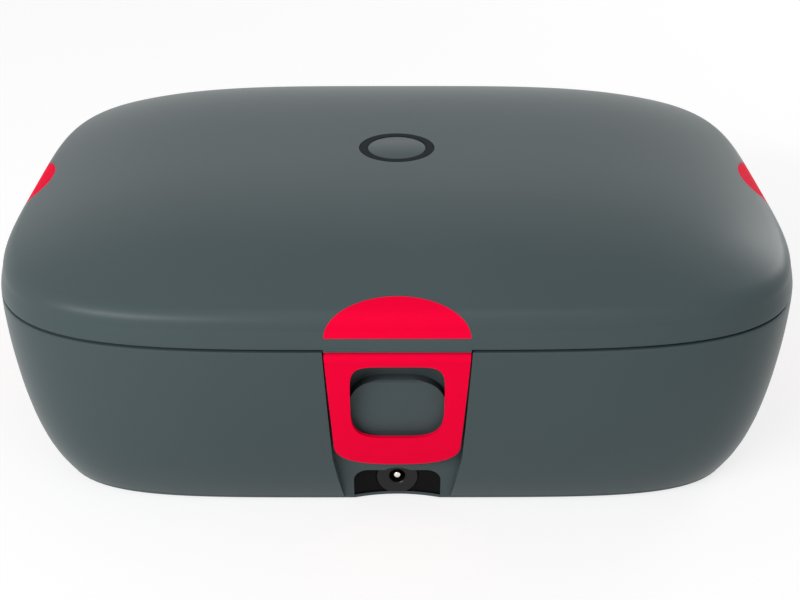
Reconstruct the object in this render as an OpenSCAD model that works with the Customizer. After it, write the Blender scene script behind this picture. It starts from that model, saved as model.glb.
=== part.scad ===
// Heated lunch box with a hinged lid, three snap latches and a power button in the lid.
// Millimetres. The origin is on the table at the middle of the footprint, hinge included,
// +Z up, and the front faces -Y.

/* [Body] */
// Width over the split line, left to right
body_w = 280; // [262:1:300]
// Depth over the split line, front to rear
body_d = 212; // [200:1:230]
// Height of the split line above the table
split_z = 69.5; // [67:0.5:76]
// Gap between the rims of lid and base
split_gap = 1; // [0.8:0.1:1.2]
// Wall of the outer shells
wall = 2.5; // [2:0.1:3]
// How far the base tucks in at its foot
tuck = 16; // [12:0.5:18]
// Squareness of the plan at the split line
plan_n = 4.25; // [3.6:0.05:5]
// Squareness of the plan at the foot
foot_n = 5.4; // [4.5:0.1:6]

/* [Lid] */
// Height of the upright band above the split line
band_h = 6.7; // [5:0.1:8]
// Inward lean of that band
band_in = 1.3; // [0.8:0.1:2]
// Radius of the shoulder above the band
shoulder_r = 7.4; // [6:0.1:9]
// Rise of the crowned top above the shoulder
crown_h = 14; // [12:0.5:16]
// Flatness of the crowned top
crown_n = 3.9; // [3:0.1:5]

/* [Latches] */
// Half width of a latch at its knuckle
latch_top = 23.6; // [22:0.1:25]
// Half width of a latch near its free end
latch_low = 21.2; // [20:0.1:21.8]
// Height of a latch's free end above the table
latch_foot_z = 21; // [20:0.5:24]
// Thickness of a latch
latch_t = 1.5; // [1.3:0.1:1.7]
// Radius of a latch's knuckle
knuckle_r = 3.2; // [3.1:0.1:3.3]
// Radius of a latch pin
latch_pin_r = 1; // [0.9:0.05:1.1]
// Depth of the recess behind a latch, below the split line
bay_depth = 10.5; // [10.3:0.1:11.5]

/* [Rear hinge] */
// Distance of the hinge axis behind the split line's rear
hinge_out = 5; // [4.8:0.1:6]
// Distance of the hinge axis below the split line
hinge_drop = 14; // [13:0.5:16]
// Radius of the hinge knuckles
hinge_r = 4; // [3.6:0.1:4.2]
// Radius of the hinge pin
hinge_pin_r = 1.5; // [1.2:0.1:1.8]
// Width of the lid's hinge leaf
lid_leaf_w = 54; // [46:1:60]
// Width of each knuckle of the base's hinge leaf
base_knuckle_w = 18; // [15:1:20]

/* [Heated well and dish] */
// Width of the well's mouth
well_w = 216; // [200:1:220]
// Depth of the well's mouth, front to rear
well_d = 152; // [144:1:156]
// Height of the well's floor above the table
well_floor_z = 24; // [23:0.5:27]
// Inward lean of the well's wall from mouth to floor
well_draft = 6; // [5:0.5:8]
// Sheet thickness of well and dish
sheet = 1.2; // [1:0.1:1.4]
// Running gap between the dish and the well
dish_gap = 1; // [0.8:0.1:1.4]

/* [Power button] */
// Outer radius of the light ring
ring_r = 14.1; // [13.5:0.1:15]
// Width of the light ring
ring_w = 3.15; // [2.8:0.05:3.4]
// Travel of the button
button_travel = 1; // [0.6:0.1:1.1]

/* [Inlet] */
// Bore of the barrel inlet
jack_bore_r = 2.75; // [2.5:0.05:3]
// Depth of the bore
jack_bore_l = 9.5; // [9:0.5:11]
// Radius of the inlet's centre pin
jack_pin_r = 1.25; // [1:0.05:1.25]
// Height of the inlet's axis above the table
jack_z = 8.6; // [8.4:0.1:9]
// Radius of the inlet's face
jack_face_r = 7.4; // [6.8:0.1:7.4]

/* [Hidden] */

$fn = 48;
eps = 0.01;               // overlap of one cutting body with the next
fit = 0.1;                // gap all round a piece that is dropped into a seat
clear = 0.3;              // gap between pieces that must not rub
run = 0.05;               // radial running clearance of a pin
far = 400;                // longer than the whole object
foot_gap = 0.8;           // the shell's lower edge stands this far off the table
floor_t = 2.4;            // floor of the base shell
hw = body_w / 2;
hd = body_d / 2;
base_top = split_z - split_gap / 2;
lid_bottom = split_z + split_gap / 2;
floor_top = foot_gap + floor_t;
ring_steps = 64;         // points around a lofted ring

// colours
grey = [0.29, 0.34, 0.34];
dark_grey = [0.17, 0.19, 0.19];
black = [0.12, 0.12, 0.13];
red = [0.92, 0.02, 0.21];
silicone = [0.75, 0.76, 0.76];
steel = [0.75, 0.76, 0.78];
aluminium = [0.8, 0.81, 0.82];
brass = [0.8, 0.68, 0.4];
board_green = [0.1, 0.35, 0.2];

// Every piece is drawn about the middle of the box and then moved forward by half of
// what the hinge adds at the rear.
module in_frame() {
    translate([0, -(hinge_out + hinge_r) / 2, 0]) children();
}

// ---- outline and loft helpers ----

// A superellipse of half sizes a and b and exponent n.
function outline(a, b, n, m = ring_steps) = [for (k = [0:m - 1])
    let (t = 360 * k / m, c = cos(t), s = sin(t))
    [a * sign(c) * pow(abs(c), 2 / n), b * sign(s) * pow(abs(s), 2 / n)]];

// Inward lean of the base wall at height z.
function lean(z) = let (t = max(0, (split_z - z) / split_z))
    tuck * (0.7 * pow(t, 1.5) + 0.3 * pow(t, 5.6));

// Exponent of the base's plan at height z.
function base_n(z) = plan_n + (foot_n - plan_n) * (split_z - z) / split_z;

// A closed solid through rings [a, b, z, n], lowest first.
module loft(rings, m = ring_steps) {
    points = [for (r = rings, p = outline(r[0], r[1], r[3], m)) [p[0], p[1], r[2]]];
    last = (len(rings) - 1) * m;
    sides = [for (j = [0:len(rings) - 2], k = [0:m - 1]) let (q = (k + 1) % m)
        [j * m + k, (j + 1) * m + k, (j + 1) * m + q, j * m + q]];
    polyhedron(points, concat(sides, [[for (k = [0:m - 1]) k]],
        [[for (k = [m - 1:-1:0]) last + k]]));
}

// A rounded slab between two heights.
module slab(a, b, n, z0, z1) {
    translate([0, 0, z0]) linear_extrude(z1 - z0) polygon(outline(a, b, n));
}

// A box from its lowest to its highest corner.
module block(low, high) {
    translate(low) cube(high - low);
}

module rod(r, from, to) {
    d = to - from;
    translate(from) rotate([0, acos(d[2] / norm(d)), atan2(d[1], d[0])])
        cylinder(r = r, h = norm(d));
}

// A shape drawn in [y, z] and extruded across x, centred.
module across(width) {
    rotate([90, 0, 90]) translate([0, 0, -width / 2]) linear_extrude(width) children();
}

// A shape drawn in [x, z] and extruded along y, from y0 to y1.
module along(y0, y1) {
    translate([0, y1, 0]) rotate([90, 0, 0]) linear_extrude(y1 - y0) children();
}

// ---- base wall ----

edge_r = 0.8;                                       // rounding of the lower edge
outer_steps = 9;                                    // rows of facets up the outside and inside
inner_steps = 8;
// Evenly spaced heights between two heights, without the ends.
function between(low, high, steps) = [for (k = [1:steps - 1]) low + (high - low) * k / steps];
function wall_ring(z, off) = [hw - lean(z) - off, hd - lean(z) - off, z, base_n(z)];
function set_z(r, z) = [r[0], r[1], z, r[3]];
base_outer = concat([wall_ring(foot_gap, edge_r), wall_ring(foot_gap + edge_r, 0)],
    [for (z = between(foot_gap, base_top, outer_steps)) wall_ring(z, 0)], [wall_ring(base_top, 0)]);
base_inner = concat([set_z(wall_ring(floor_top, wall + 2), floor_top),
    wall_ring(floor_top + 2, wall)],
    [for (z = between(floor_top, base_top, inner_steps)) wall_ring(z, wall)],
    [set_z(wall_ring(base_top, wall), split_z + 1)]);

// ---- latch sites: 0 front, 1 left, 2 right ----

site_turn = [0, -90, 90];
function site_reach(s) = s == 0 ? hd : hw;
// In a site's own frame +Y points into the box and y = 0 is the wall at the split line.
module at_site(s) {
    rotate([0, 0, site_turn[s]]) translate([0, -site_reach(s), 0]) children();
}

knuckle_z = base_top - knuckle_r;
bay_gap = [0.5, 2.7, 2.7];                          // gap beside the latch at the split line
bay_low_gap = [0.6, 1.2, 1.2];                      // the same near the latch's free end
bay_foot_w = 18.1;                                  // half width of the recess at the foot
bay_low = latch_foot_z + 2.5;                       // below this the recess floor slopes outwards
window_half = 15.4;
window_low = 33.6;
window_top = 63.6;
window_n = 3.8;                                     // squareness of the window
boss_half = window_half + 1.2;                      // the boss fills the window from side to side
boss_top = window_top - 9.2;
boss_low = window_low - 5;
boss_n = 4.2;                                       // squareness of the boss seen from the front
boss_bend = 46;                                     // below this the boss's face leans inwards

// Depth of each boss's face. At the sides the latch's free end passes straight in front of it.
side_face = lean(latch_foot_z) + latch_t + clear;
boss_face = [6.6, side_face, side_face];

// Front view of the recess, in [x, z].
module bay_front(s, grow) {
    top = latch_top + bay_gap[s] + grow;
    mid = latch_low + bay_low_gap[s] + grow;
    polygon([[-bay_foot_w - grow, -1], [-mid, bay_low], [-top, split_z + 1], [top, split_z + 1],
        [mid, bay_low], [bay_foot_w + grow, -1]]);
}

// Side view of the recess, in [y, z].
module bay_side(grow) {
    polygon([[-3, -1], [-3, split_z + 1], [bay_depth + grow, split_z + 1],
        [bay_depth + grow, bay_low], [lean(foot_gap) + grow, foot_gap], [lean(foot_gap) + grow, -1]]);
}

module bay(s, grow = 0) {
    at_site(s) intersection() {
        across(far) bay_side(grow);
        along(-5, bay_depth + 20) bay_front(s, grow);
    }
}

// ---- inlet pocket in the foot of the front recess ----

pocket_half = 15;
pocket_top = jack_z + 6.2;
pocket_corner = 5;
pocket_y = -(hd - lean(foot_gap) - 2.2);            // deepest line of the lip's front
pocket_arc = 52;                                    // radius of the lip and the back, in plan
lip_top = 2;                                        // above this lip the pocket steps back
lip_step = 0.5;
seat_y = pocket_y + lip_step + 0.4;                 // flat seat of the inlet's face

module pocket_front(grow) {
    half = pocket_half + grow;
    top = pocket_top + grow;
    translate([-half, -1]) square([2 * half, top - pocket_corner + 1]);
    translate([-half + pocket_corner, -1]) square([2 * (half - pocket_corner), top + 1]);
    for (x = [-1, 1]) translate([x * (half - pocket_corner), top - pocket_corner]) circle(pocket_corner);
}

module inlet_pocket() {
    intersection() {
        along(-far / 2, pocket_y + 5) pocket_front(0);
        for (level = [[-1, 0], [lip_top, lip_step]])
            translate([0, pocket_y + level[1] - pocket_arc, level[0]])
                cylinder(r = pocket_arc, h = pocket_top + 5, $fn = 96);
    }
    jack_face(jack_face_r + fit, seat_y - 6, seat_y, lip_top);
}

// ---- rear hinge ----

axis_y = hd + hinge_out;
axis_z = split_z - hinge_drop;
leaf_t = 2.4;
base_seat_y = hd - 1.9;                             // flat seat of the base leaf
lid_seat_y = hd - 1.6;                              // flat seat of the lid leaf
base_leaf_half = lid_leaf_w / 2 + fit + base_knuckle_w;
base_leaf_low = axis_z - 9;
base_leaf_top = axis_z + 9;
lid_leaf_top = split_z + band_h + 1;
lid_leaf_low = lid_bottom + clear;
hinge_screw_r = 1.4;
base_screw_x = [-36, -12, 12, 36];
lid_screw_x = [-18, 0, 18];
base_screw_z = axis_z - 6.2;
leaf_pad = 3;                                       // thick wall behind a leaf goes this far round it
leaf_pad_t = 9;
lid_pad_t = 7;
lid_screw_z = (lid_leaf_top + lid_leaf_low) / 2;
hinge_head_r = 2.6;
hinge_head_t = 1;
base_head_y = base_seat_y + leaf_t - hinge_head_t;  // sunk heads lie flush with the leaf
lid_head_y = lid_seat_y + 2.4;
screw_l = 5;

module y_hole(x, y, z, r, l) {
    translate([x, y, z]) rotate([90, 0, 0]) cylinder(r = r, h = l, $fn = 24);
}

// ---- posts and feet ----

// Half of a size where the diagonal meets a superellipse of exponent n.
function diagonal(half, n) = half * pow(0.5, 1 / n);
function post_place(well_half, body_half) = (diagonal(well_half + mouth, well_n)
    + diagonal(body_half - lean(foot_gap) - wall, foot_n)) / 2;
mouth = 3.5;                                        // step outside the well's mouth
well_n = 4.4;
well_hw = well_w / 2;
well_hd = well_d / 2;
post_x = post_place(well_hw, hw);
post_y = post_place(well_hd, hd);
post_r = 4;
post_screw_r = 1.4;
foot_r = 8;
foot_seat = foot_gap + 1.2;
module at_posts() {
    for (x = [-1, 1], y = [-1, 1]) translate([x * post_x, y * post_y, 0]) children();
}

// ---- control board ----

board_half = 42;
board_y0 = -(hd - 40);
board_y1 = board_y0 + 44;
board_z = 6.6;
board_t = 1.6;
board_top = board_z + board_t;
board_hole_x = board_half - 4;
module at_board_holes() {
    for (x = [-1, 1], y = [board_y0 + 4, board_y1 - 4]) translate([x * board_hole_x, y, 0]) children();
}

// ---- base pieces ----

// One moulded tub. Its wall leans inwards towards the foot and folds in around the
// three latch recesses, and the inlet's pocket and bore sit in the front one.
module base_shell() {
    color(grey) {
        difference() {
            loft(base_outer);
            difference() {
                loft(base_inner);
                for (s = [0:2]) bay(s, wall);
                along(-far / 2, seat_y + wall) pocket_front(wall);
                block([-base_leaf_half - leaf_pad, hd - leaf_pad_t, base_leaf_low - leaf_pad],
                    [base_leaf_half + leaf_pad, hd, base_leaf_top + 2]);
            }
            for (s = [0:2]) bay(s);
            inlet_pocket();
            y_hole(0, seat_y + far / 4, jack_z, jack_barrel_r + run, far / 2);
            block([-base_leaf_half - fit, base_seat_y, base_leaf_low - fit],
                [base_leaf_half + fit, hd + 5, base_leaf_top + fit]);
            for (x = base_screw_x) y_hole(x, base_seat_y + 1, base_screw_z, hinge_screw_r + run,
                screw_l + 2 - leaf_t);
            at_posts() {
                translate([0, 0, foot_gap - 1]) cylinder(r = foot_r + fit, h = foot_seat - foot_gap + 1);
                cylinder(r = post_screw_r + 0.2, h = floor_top + 1, $fn = 24);
            }
        }
        for (s = [0:2]) at_site(s) latch_boss(boss_face[s]);
        at_board_holes() difference() {
            translate([0, 0, floor_top - 0.5]) cylinder(r = 3, h = board_z - floor_top + 0.5, $fn = 24);
            translate([0, 0, floor_top + eps]) cylinder(r = 1.1, h = 10, $fn = 24);
        }
    }
}

// The boss that fills the latch's window. Its face stays behind the arc that the
// latch's lower bar sweeps as the lid opens.
module latch_boss(face) {
    back = bay_depth + 0.5;
    foot = max(face, lean(latch_foot_z) + 0.6);
    half_h = (boss_top + 8 - boss_low) / 2;
    intersection() {
        across(far) polygon([[back, boss_low], [back, boss_top + 2.5], [face + 1.8, boss_top],
            [face, boss_top - 1.4], [face, boss_bend], [foot, window_low + 1],
            [foot + 1.1, boss_low]]);
        along(-5, 30) translate([0, boss_top - half_h]) polygon(outline(boss_half, half_h, boss_n));
    }
}

deck_t = 4;
rebate = 2.2;                                       // depth of the step that seats well and dish
deck_gap = wall + 0.5;                              // deck's edge inside the split line
jacket_gap = 1;
jacket_t = 6;
contact_y = (well_hd + jacket_gap + jacket_t + hd - leaf_pad_t) / 2;
contact_half = [9, 3.5];

// The deck closes the double wall from above. Four posts stand on the tub's floor.
module base_liner() {
    color(dark_grey) {
        difference() {
            slab(hw - deck_gap, hd - deck_gap, plan_n, base_top - deck_t, base_top);
            slab(well_hw + mouth, well_hd + mouth, well_n, base_top - rebate, base_top + 1);
            slab(well_hw + 1, well_hd + 1, well_n, base_top - deck_t - 1, base_top);
            for (s = [0:2]) at_site(s) deck_notch(latch_top + bay_gap[s] + wall + clear);
            block([-base_leaf_half - leaf_pad - clear, hd - leaf_pad_t - clear, split_z - 20],
                [base_leaf_half + leaf_pad + clear, hd, split_z - 2]);
            block([-contact_half[0] - fit, contact_y - contact_half[1] - fit, split_z - 10],
                [contact_half[0] + fit, contact_y + contact_half[1] + fit, split_z + 2]);
        }
        difference() {
            slab(well_hw + mouth, well_hd + mouth, well_n, base_top - 12, base_top - deck_t + eps);
            slab(well_hw + 1, well_hd + 1, well_n, base_top - 13, base_top);
        }
        at_posts() difference() {
            translate([0, 0, floor_top]) cylinder(r = post_r, h = base_top - deck_t - floor_top + eps);
            translate([0, 0, floor_top - 1]) cylinder(r = post_screw_r + run, h = 13, $fn = 24);
        }
    }
}

// Cut in the deck's edge round a latch recess.
module deck_notch(half) {
    block([-half, -5, split_z - 10], [half, bay_depth + wall + clear, split_z + 2]);
}

module liner_screws() {
    color(steel) at_posts() {
        translate([0, 0, foot_seat - 1]) cylinder(r = 2.9, h = 1, $fn = 24);
        translate([0, 0, foot_seat - eps]) cylinder(r = post_screw_r, h = 12, $fn = 24);
    }
}

module rubber_feet() {
    color(black) at_posts() difference() {
        cylinder(r = foot_r, h = foot_seat);
        translate([0, 0, foot_seat - 1.1]) cylinder(r = 3.1, h = 2, $fn = 24);
    }
}

// A pressed tray: a flange, a leaning wall, a rounded floor.
module tray(half_w, half_d, top, bottom, draft, flange, flange_t) {
    function ring(z, off) = let (k = (top - z) / (top - bottom))
        [half_w - draft * k - off, half_d - draft * k - off, z, well_n];
    difference() {
        union() {
            loft([set_z(ring(bottom, 5), bottom), ring(bottom + 1.6, 1.5), ring(bottom + 6, 0),
                ring(top - flange_t / 2, 0)], 48);
            slab(half_w + flange, half_d + flange, well_n, top - flange_t, top);
        }
        loft([set_z(ring(bottom, 5), bottom + sheet), ring(bottom + 2, 1.5 + sheet),
            ring(bottom + 6.4, sheet), set_z(ring(top, sheet), top + 1)], 48);
    }
}

well_top = base_top - rebate + sheet;
stud_x = well_hw - 28;
stud_y = well_hd - 28;
film_t = 1;
retainer_t = 1;
module at_studs() {
    for (x = [-1, 1], y = [-1, 1]) translate([x * stud_x, y * stud_y, 0]) children();
}

module heated_well() {
    color(aluminium) {
        tray(well_hw, well_hd, well_top, well_floor_z, well_draft, mouth - 2 * fit, sheet);
        at_studs() translate([0, 0, well_floor_z - 5.6]) cylinder(r = 1.5, h = 6, $fn = 24);
    }
}

module heater_plate(half_w, half_d, z0, z1, hole_r) {
    difference() {
        slab(half_w, half_d, well_n, z0, z1);
        at_studs() translate([0, 0, z0 - 1]) cylinder(r = hole_r, h = 5, $fn = 24);
    }
}

film_low = well_floor_z - film_t;
retainer_low = film_low - retainer_t;
module heater_film() {
    color([0.75, 0.42, 0.12]) heater_plate(well_hw - 18, well_hd - 18, film_low, well_floor_z, 1.5 + run);
}
module heater_retainer() {
    color(steel) heater_plate(well_hw - 22, well_hd - 22, retainer_low, film_low, 1.5 + run);
}
module retainer_nuts() {
    color(steel) at_studs() difference() {
        translate([0, 0, retainer_low - 1.8]) cylinder(r = 3.2, h = 1.8, $fn = 6);
        translate([0, 0, retainer_low - 3]) cylinder(r = 1.5 + run, h = 5, $fn = 24);
    }
}
module thermistor() {
    color([0.85, 0.85, 0.8]) block([22, -3, retainer_low - 4], [32, 3, retainer_low]);
}
module thermal_cutout() {
    color(black) translate([-26, 0, retainer_low - 5]) {
        cylinder(r = 8, h = 5);
        for (x = [-1, 1]) translate([x * 10, 0, 3.5]) cube([7, 4, 1], center = true);
    }
}

lead_x = 12;
lead_y = board_y1 - 12;
module heater_leads() {
    color([0.8, 0.8, 0.78]) for (x = [-1, 1])
        rod(0.9, [x * lead_x, lead_y, board_top], [x * lead_x, lead_y, retainer_low]);
}

module insulation_jacket() {
    color([0.86, 0.85, 0.8]) difference() {
        slab(well_hw + jacket_gap + jacket_t, well_hd + jacket_gap + jacket_t, well_n,
            well_floor_z, base_top - 12);
        slab(well_hw + jacket_gap, well_hd + jacket_gap, well_n, well_floor_z - 1, split_z);
        at_posts() cylinder(r = post_r + clear, h = split_z);
    }
}

module control_board() {
    color(board_green) difference() {
        block([-board_half, board_y0, board_z], [board_half, board_y1, board_top]);
        at_board_holes() cylinder(r = 1.5, h = 20, $fn = 24);
    }
}
module board_components() {
    color(black) {
        block([-34, board_y0 + 12, board_top], [-18, board_y0 + 28, board_top + 7]);
        block([24, board_y0 + 20, board_top], [34, board_y0 + 30, board_top + 1.6]);
        block([-4, board_y0 + 24, board_top], [6, board_y0 + 30, board_top + 1.2]);
    }
    color(steel) for (y = [10, 20, 30])
        translate([18, board_y0 + y, board_top]) cylinder(r = 3.2, h = 8, $fn = 24);
}
module board_screws() {
    color(steel) at_board_holes() {
        translate([0, 0, board_top]) cylinder(r = 2.2, h = 1.2, $fn = 24);
        translate([0, 0, floor_top + 0.4]) cylinder(r = 1.05, h = board_top - floor_top, $fn = 24);
    }
}

// ---- inlet ----

jack_barrel_r = 5.2;
jack_groove_r = 4.15;
jack_inner_y = seat_y + wall;                       // inner face of the wall behind the pocket
clip_t = 1.5;
jack_flange_t = 1.2;
jack_back = seat_y + 14;
module y_cyl(r, y0, y1, fn = 48) {
    translate([0, y1, jack_z]) rotate([90, 0, 0]) cylinder(r = r, h = y1 - y0, $fn = fn);
}
// The inlet's face, with a flat that stands on the pocket's lip.
module jack_face(r, y0, y1, low) {
    intersection() {
        y_cyl(r, y0, y1);
        block([-r, y0 - 1, low], [r, y1 + 1, jack_z + r]);
    }
}
module dc_jack_housing() {
    color(black) difference() {
        union() {
            jack_face(jack_face_r, seat_y - jack_flange_t, seat_y, lip_top + fit);
            y_cyl(jack_barrel_r, seat_y - eps, jack_inner_y);
            y_cyl(jack_groove_r, jack_inner_y - eps, jack_inner_y + clip_t + 2 * fit);
            y_cyl(jack_barrel_r, jack_inner_y + clip_t + 2 * fit - eps, jack_back);
        }
        y_cyl(jack_bore_r, seat_y - jack_flange_t - 1, seat_y - jack_flange_t + jack_bore_l);
    }
}
module dc_jack_pin() {
    color(brass) y_cyl(jack_pin_r, seat_y - jack_flange_t + 0.2, seat_y - jack_flange_t + jack_bore_l, 24);
}
// A fork clip pushed down over the barrel's groove.
module jack_retainer() {
    color(steel) difference() {
        block([-8, jack_inner_y, floor_top + 0.2], [8, jack_inner_y + clip_t, jack_z + 8]);
        y_cyl(jack_groove_r + run, jack_inner_y - 1, jack_inner_y + clip_t + 1);
        block([-jack_groove_r - run, jack_inner_y - 1, 0],
            [jack_groove_r + run, jack_inner_y + clip_t + 1, jack_z]);
    }
}
module jack_leads() {
    color(red) for (x = [-2.4, 2.4])
        rod(0.8, [x, jack_back, board_top + 0.8], [x, board_y0 + 9, board_top + 0.8]);
}

// ---- contacts between base and lid, closed by shutting the lid ----

module contact_block() {
    color(black) difference() {
        block([-contact_half[0], contact_y - contact_half[1], base_top - 8],
            [contact_half[0], contact_y + contact_half[1], base_top]);
        at_contacts() translate([0, 0, base_top - 7]) cylinder(r = 1 + run, h = 10, $fn = 24);
    }
}
module at_contacts() {
    for (x = [-6, 0, 6]) translate([x, contact_y, 0]) children();
}
module contact_pins() {
    color(brass) at_contacts() translate([0, 0, base_top - 7]) cylinder(r = 1, h = 7.4, $fn = 24);
}
// The ribbon leaves the front half of the block, clear of the wall that leans in below.
ribbon_y = contact_y - contact_half[1];
module contact_ribbon() {
    color([0.55, 0.55, 0.56]) {
        block([-4, ribbon_y, board_top], [4, ribbon_y + 1, base_top - 8]);
        block([-4, board_y1 - 6, board_top], [4, ribbon_y + eps, board_top + 1]);
    }
}

dish_lean = well_draft - 1;
dish_top = base_top + 0.2;
module food_dish() {
    color(steel) tray(well_hw - sheet - dish_gap, well_hd - sheet - dish_gap, dish_top,
        well_floor_z + sheet + 0.2, dish_lean, mouth + sheet + dish_gap - 2 * fit, dish_top - well_top);
}

// ---- hinge ----

module hinge_knuckle(x0, x1) {
    translate([x0, axis_y, axis_z]) rotate([0, 90, 0]) cylinder(r = hinge_r, h = x1 - x0);
}
module hinge_bore() {
    translate([-far / 2, axis_y, axis_z]) rotate([0, 90, 0]) cylinder(r = hinge_pin_r + run, h = far);
}
module base_hinge_leaf() {
    color(dark_grey) difference() {
        union() {
            block([-base_leaf_half, base_seat_y, base_leaf_low],
                [base_leaf_half, base_seat_y + leaf_t, base_leaf_top]);
            for (x0 = [-base_leaf_half, lid_leaf_w / 2 + fit]) {
                hinge_knuckle(x0, x0 + base_knuckle_w);
                block([x0, base_seat_y + leaf_t - eps, axis_z - hinge_r],
                    [x0 + base_knuckle_w, axis_y, axis_z + hinge_r]);
            }
        }
        hinge_bore();
        for (x = base_screw_x) {
            y_hole(x, hd + 10, base_screw_z, hinge_screw_r + run, 15);
            y_hole(x, axis_y + hinge_r + 1, base_screw_z, hinge_head_r + 0.2,
                axis_y + hinge_r + 1 - base_head_y);
        }
    }
}
module base_hinge_screws() {
    color(steel) for (x = base_screw_x) {
        y_hole(x, base_head_y + hinge_head_t, base_screw_z, hinge_head_r, hinge_head_t);
        y_hole(x, base_head_y + eps, base_screw_z, hinge_screw_r, screw_l);
    }
}
module hinge_pin() {
    color(steel) translate([-base_leaf_half, axis_y, axis_z]) rotate([0, 90, 0])
        cylinder(r = hinge_pin_r, h = 2 * base_leaf_half);
}
arm_y = hd + 1.1;                                   // the arm passes outside the base leaf
module lid_hinge_leaf() {
    color(dark_grey) difference() {
        union() {
            across(lid_leaf_w) polygon([[lid_seat_y, lid_leaf_low], [lid_seat_y, lid_leaf_top],
                [arm_y + 1.2, lid_leaf_top], [arm_y + 2.9, lid_leaf_top - 1.8], [axis_y + 0.5, axis_z + 3],
                [axis_y, axis_z], [arm_y, axis_z], [arm_y, lid_leaf_low]]);
            hinge_knuckle(-lid_leaf_w / 2, lid_leaf_w / 2);
        }
        hinge_bore();
        for (x = lid_screw_x) {
            y_hole(x, hd + 15, lid_screw_z, hinge_screw_r + run, 30);
            y_hole(x, hd + 15, lid_screw_z, hinge_head_r + 0.2, 15 + hd - lid_head_y);
        }
    }
}
module lid_hinge_screws() {
    color(steel) for (x = lid_screw_x) {
        y_hole(x, lid_head_y + hinge_head_t, lid_screw_z, hinge_head_r, hinge_head_t);
        y_hole(x, lid_head_y + eps, lid_screw_z, hinge_screw_r, screw_l + 1.4);
    }
}

// ---- lid ----

// The shoulder turns from the band's side to the slope at the crown's edge.
crown_slope = atan(crown_h * crown_n / (hd - band_in - shoulder_r * 0.5));
shoulder_turn = 90 - crown_slope;
shoulder_in = shoulder_r * (1 - cos(shoulder_turn));
shoulder_up = shoulder_r * sin(shoulder_turn);
crown_hw = hw - band_in - shoulder_in;
crown_hd = hd - band_in - shoulder_in;
crown_z = split_z + band_h + shoulder_up;
lid_top = crown_z + crown_h;
crown_plan_n = plan_n - 0.25;

// Outer lid rings, offset inwards by off along the surface's own normal.
function shoulder_ring(a, off) = let (r = shoulder_r - off, i = band_in + shoulder_r - r * cos(a))
    [hw - i, hd - i, split_z + band_h + r * sin(a), plan_n - 0.25 * a / shoulder_turn];
function crown_ring(s, off) = let (slope = atan(crown_h * crown_n * pow(s, crown_n - 1) / crown_hd))
    [crown_hw * s - off * sin(slope), crown_hd * s - off * sin(slope),
    crown_z + crown_h * (1 - pow(s, crown_n)) - off * cos(slope), crown_plan_n - 0.5 * (1 - s)];
shoulder_steps = 4;
crown_s = [0.93, 0.84, 0.72, 0.56, 0.36, 0.12];
function lid_rings(off, bottom) = concat(
    [[hw - off, hd - off, bottom, plan_n], [hw - band_in * 0.35 - off, hd - band_in * 0.35 - off,
        split_z + band_h * 0.5, plan_n]],
    [for (k = [0:shoulder_steps]) shoulder_ring(shoulder_turn * k / shoulder_steps, off)],
    [for (s = crown_s) crown_ring(s, off)]);

// A pad's outline seen along its own axis: half an ellipse on a straight foot.
pad_half = 23.4;
pad_h = 13.5;
pad_tilt = 28;                                      // the pad's axis rises this far above level
pad_foot_z = split_z + 4.7;
module pad_prism(s, grow) {
    half = pad_half + grow;
    at_site(s) translate([0, 0, pad_foot_z]) rotate([-pad_tilt, 0, 0]) along(-18, 12)
        polygon(concat([[-half, -grow], [half, -grow]],
            [for (k = [1:23]) let (t = 180 * k / 24) [half * cos(t), (pad_h + grow) * sin(t)]]));
}

ring_flange_r = ring_r + 2.6;
ring_seat_z = lid_top - wall;
button_y = -2.4;
// The lid's posts stand midway between the seal and the wall.
function lid_place(well_half, body_half) = (diagonal(well_half + mouth, well_n)
    + diagonal(body_half - wall, plan_n)) / 2;
lid_post = [lid_place(well_hw, hw), lid_place(well_hd, hd)];
liner_low = lid_bottom + 1.4;
liner_t = 2;
liner_top = liner_low + liner_t;
ear_x = [-10, 10];                                  // middle of each ear
ear_w = 5.4;
board2_z = lid_top - wall - 9.6;                    // underside of the button's board
board2_t = 1.6;
board2_half = 20;
module at_lid_posts() {
    for (x = [-1, 1], y = [-1, 1]) translate([x * lid_post[0], y * lid_post[1], 0]) children();
}
module at_button_posts() {
    for (x = [-1, 1], y = [-1, 1]) translate([x * 15.5, button_y + y * 15.5, 0]) children();
}

// An ear that carries a latch pin: out from behind the knuckle, then up into the lid.
ear_r = 2.1;
ear_back = bay_depth - 0.6;
ear_top = pad_foot_z - clear;
ear_in = wall + band_in + clear;                    // behind the pad
pad_under = pad_foot_z - (wall + band_in) * tan(pad_tilt) - clear;
module ear() {
    difference() {
        union() {
            across(ear_w) polygon([[knuckle_r, knuckle_z - ear_r], [ear_back, knuckle_z - ear_r],
                [ear_back, ear_top], [ear_in, ear_top], [ear_in, pad_under], [1.5, pad_under],
                [1.5, lid_bottom], [7.2, lid_bottom], [7.2, knuckle_z + 0.9],
                [knuckle_r, knuckle_z + 0.9]]);
            translate([-ear_w / 2, knuckle_r, knuckle_z]) rotate([0, 90, 0])
                cylinder(r = ear_r, h = ear_w, $fn = 24);
        }
        translate([-ear_w, knuckle_r, knuckle_z]) rotate([0, 90, 0])
            cylinder(r = latch_pin_r, h = 2 * ear_w, $fn = 24);
    }
}

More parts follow.
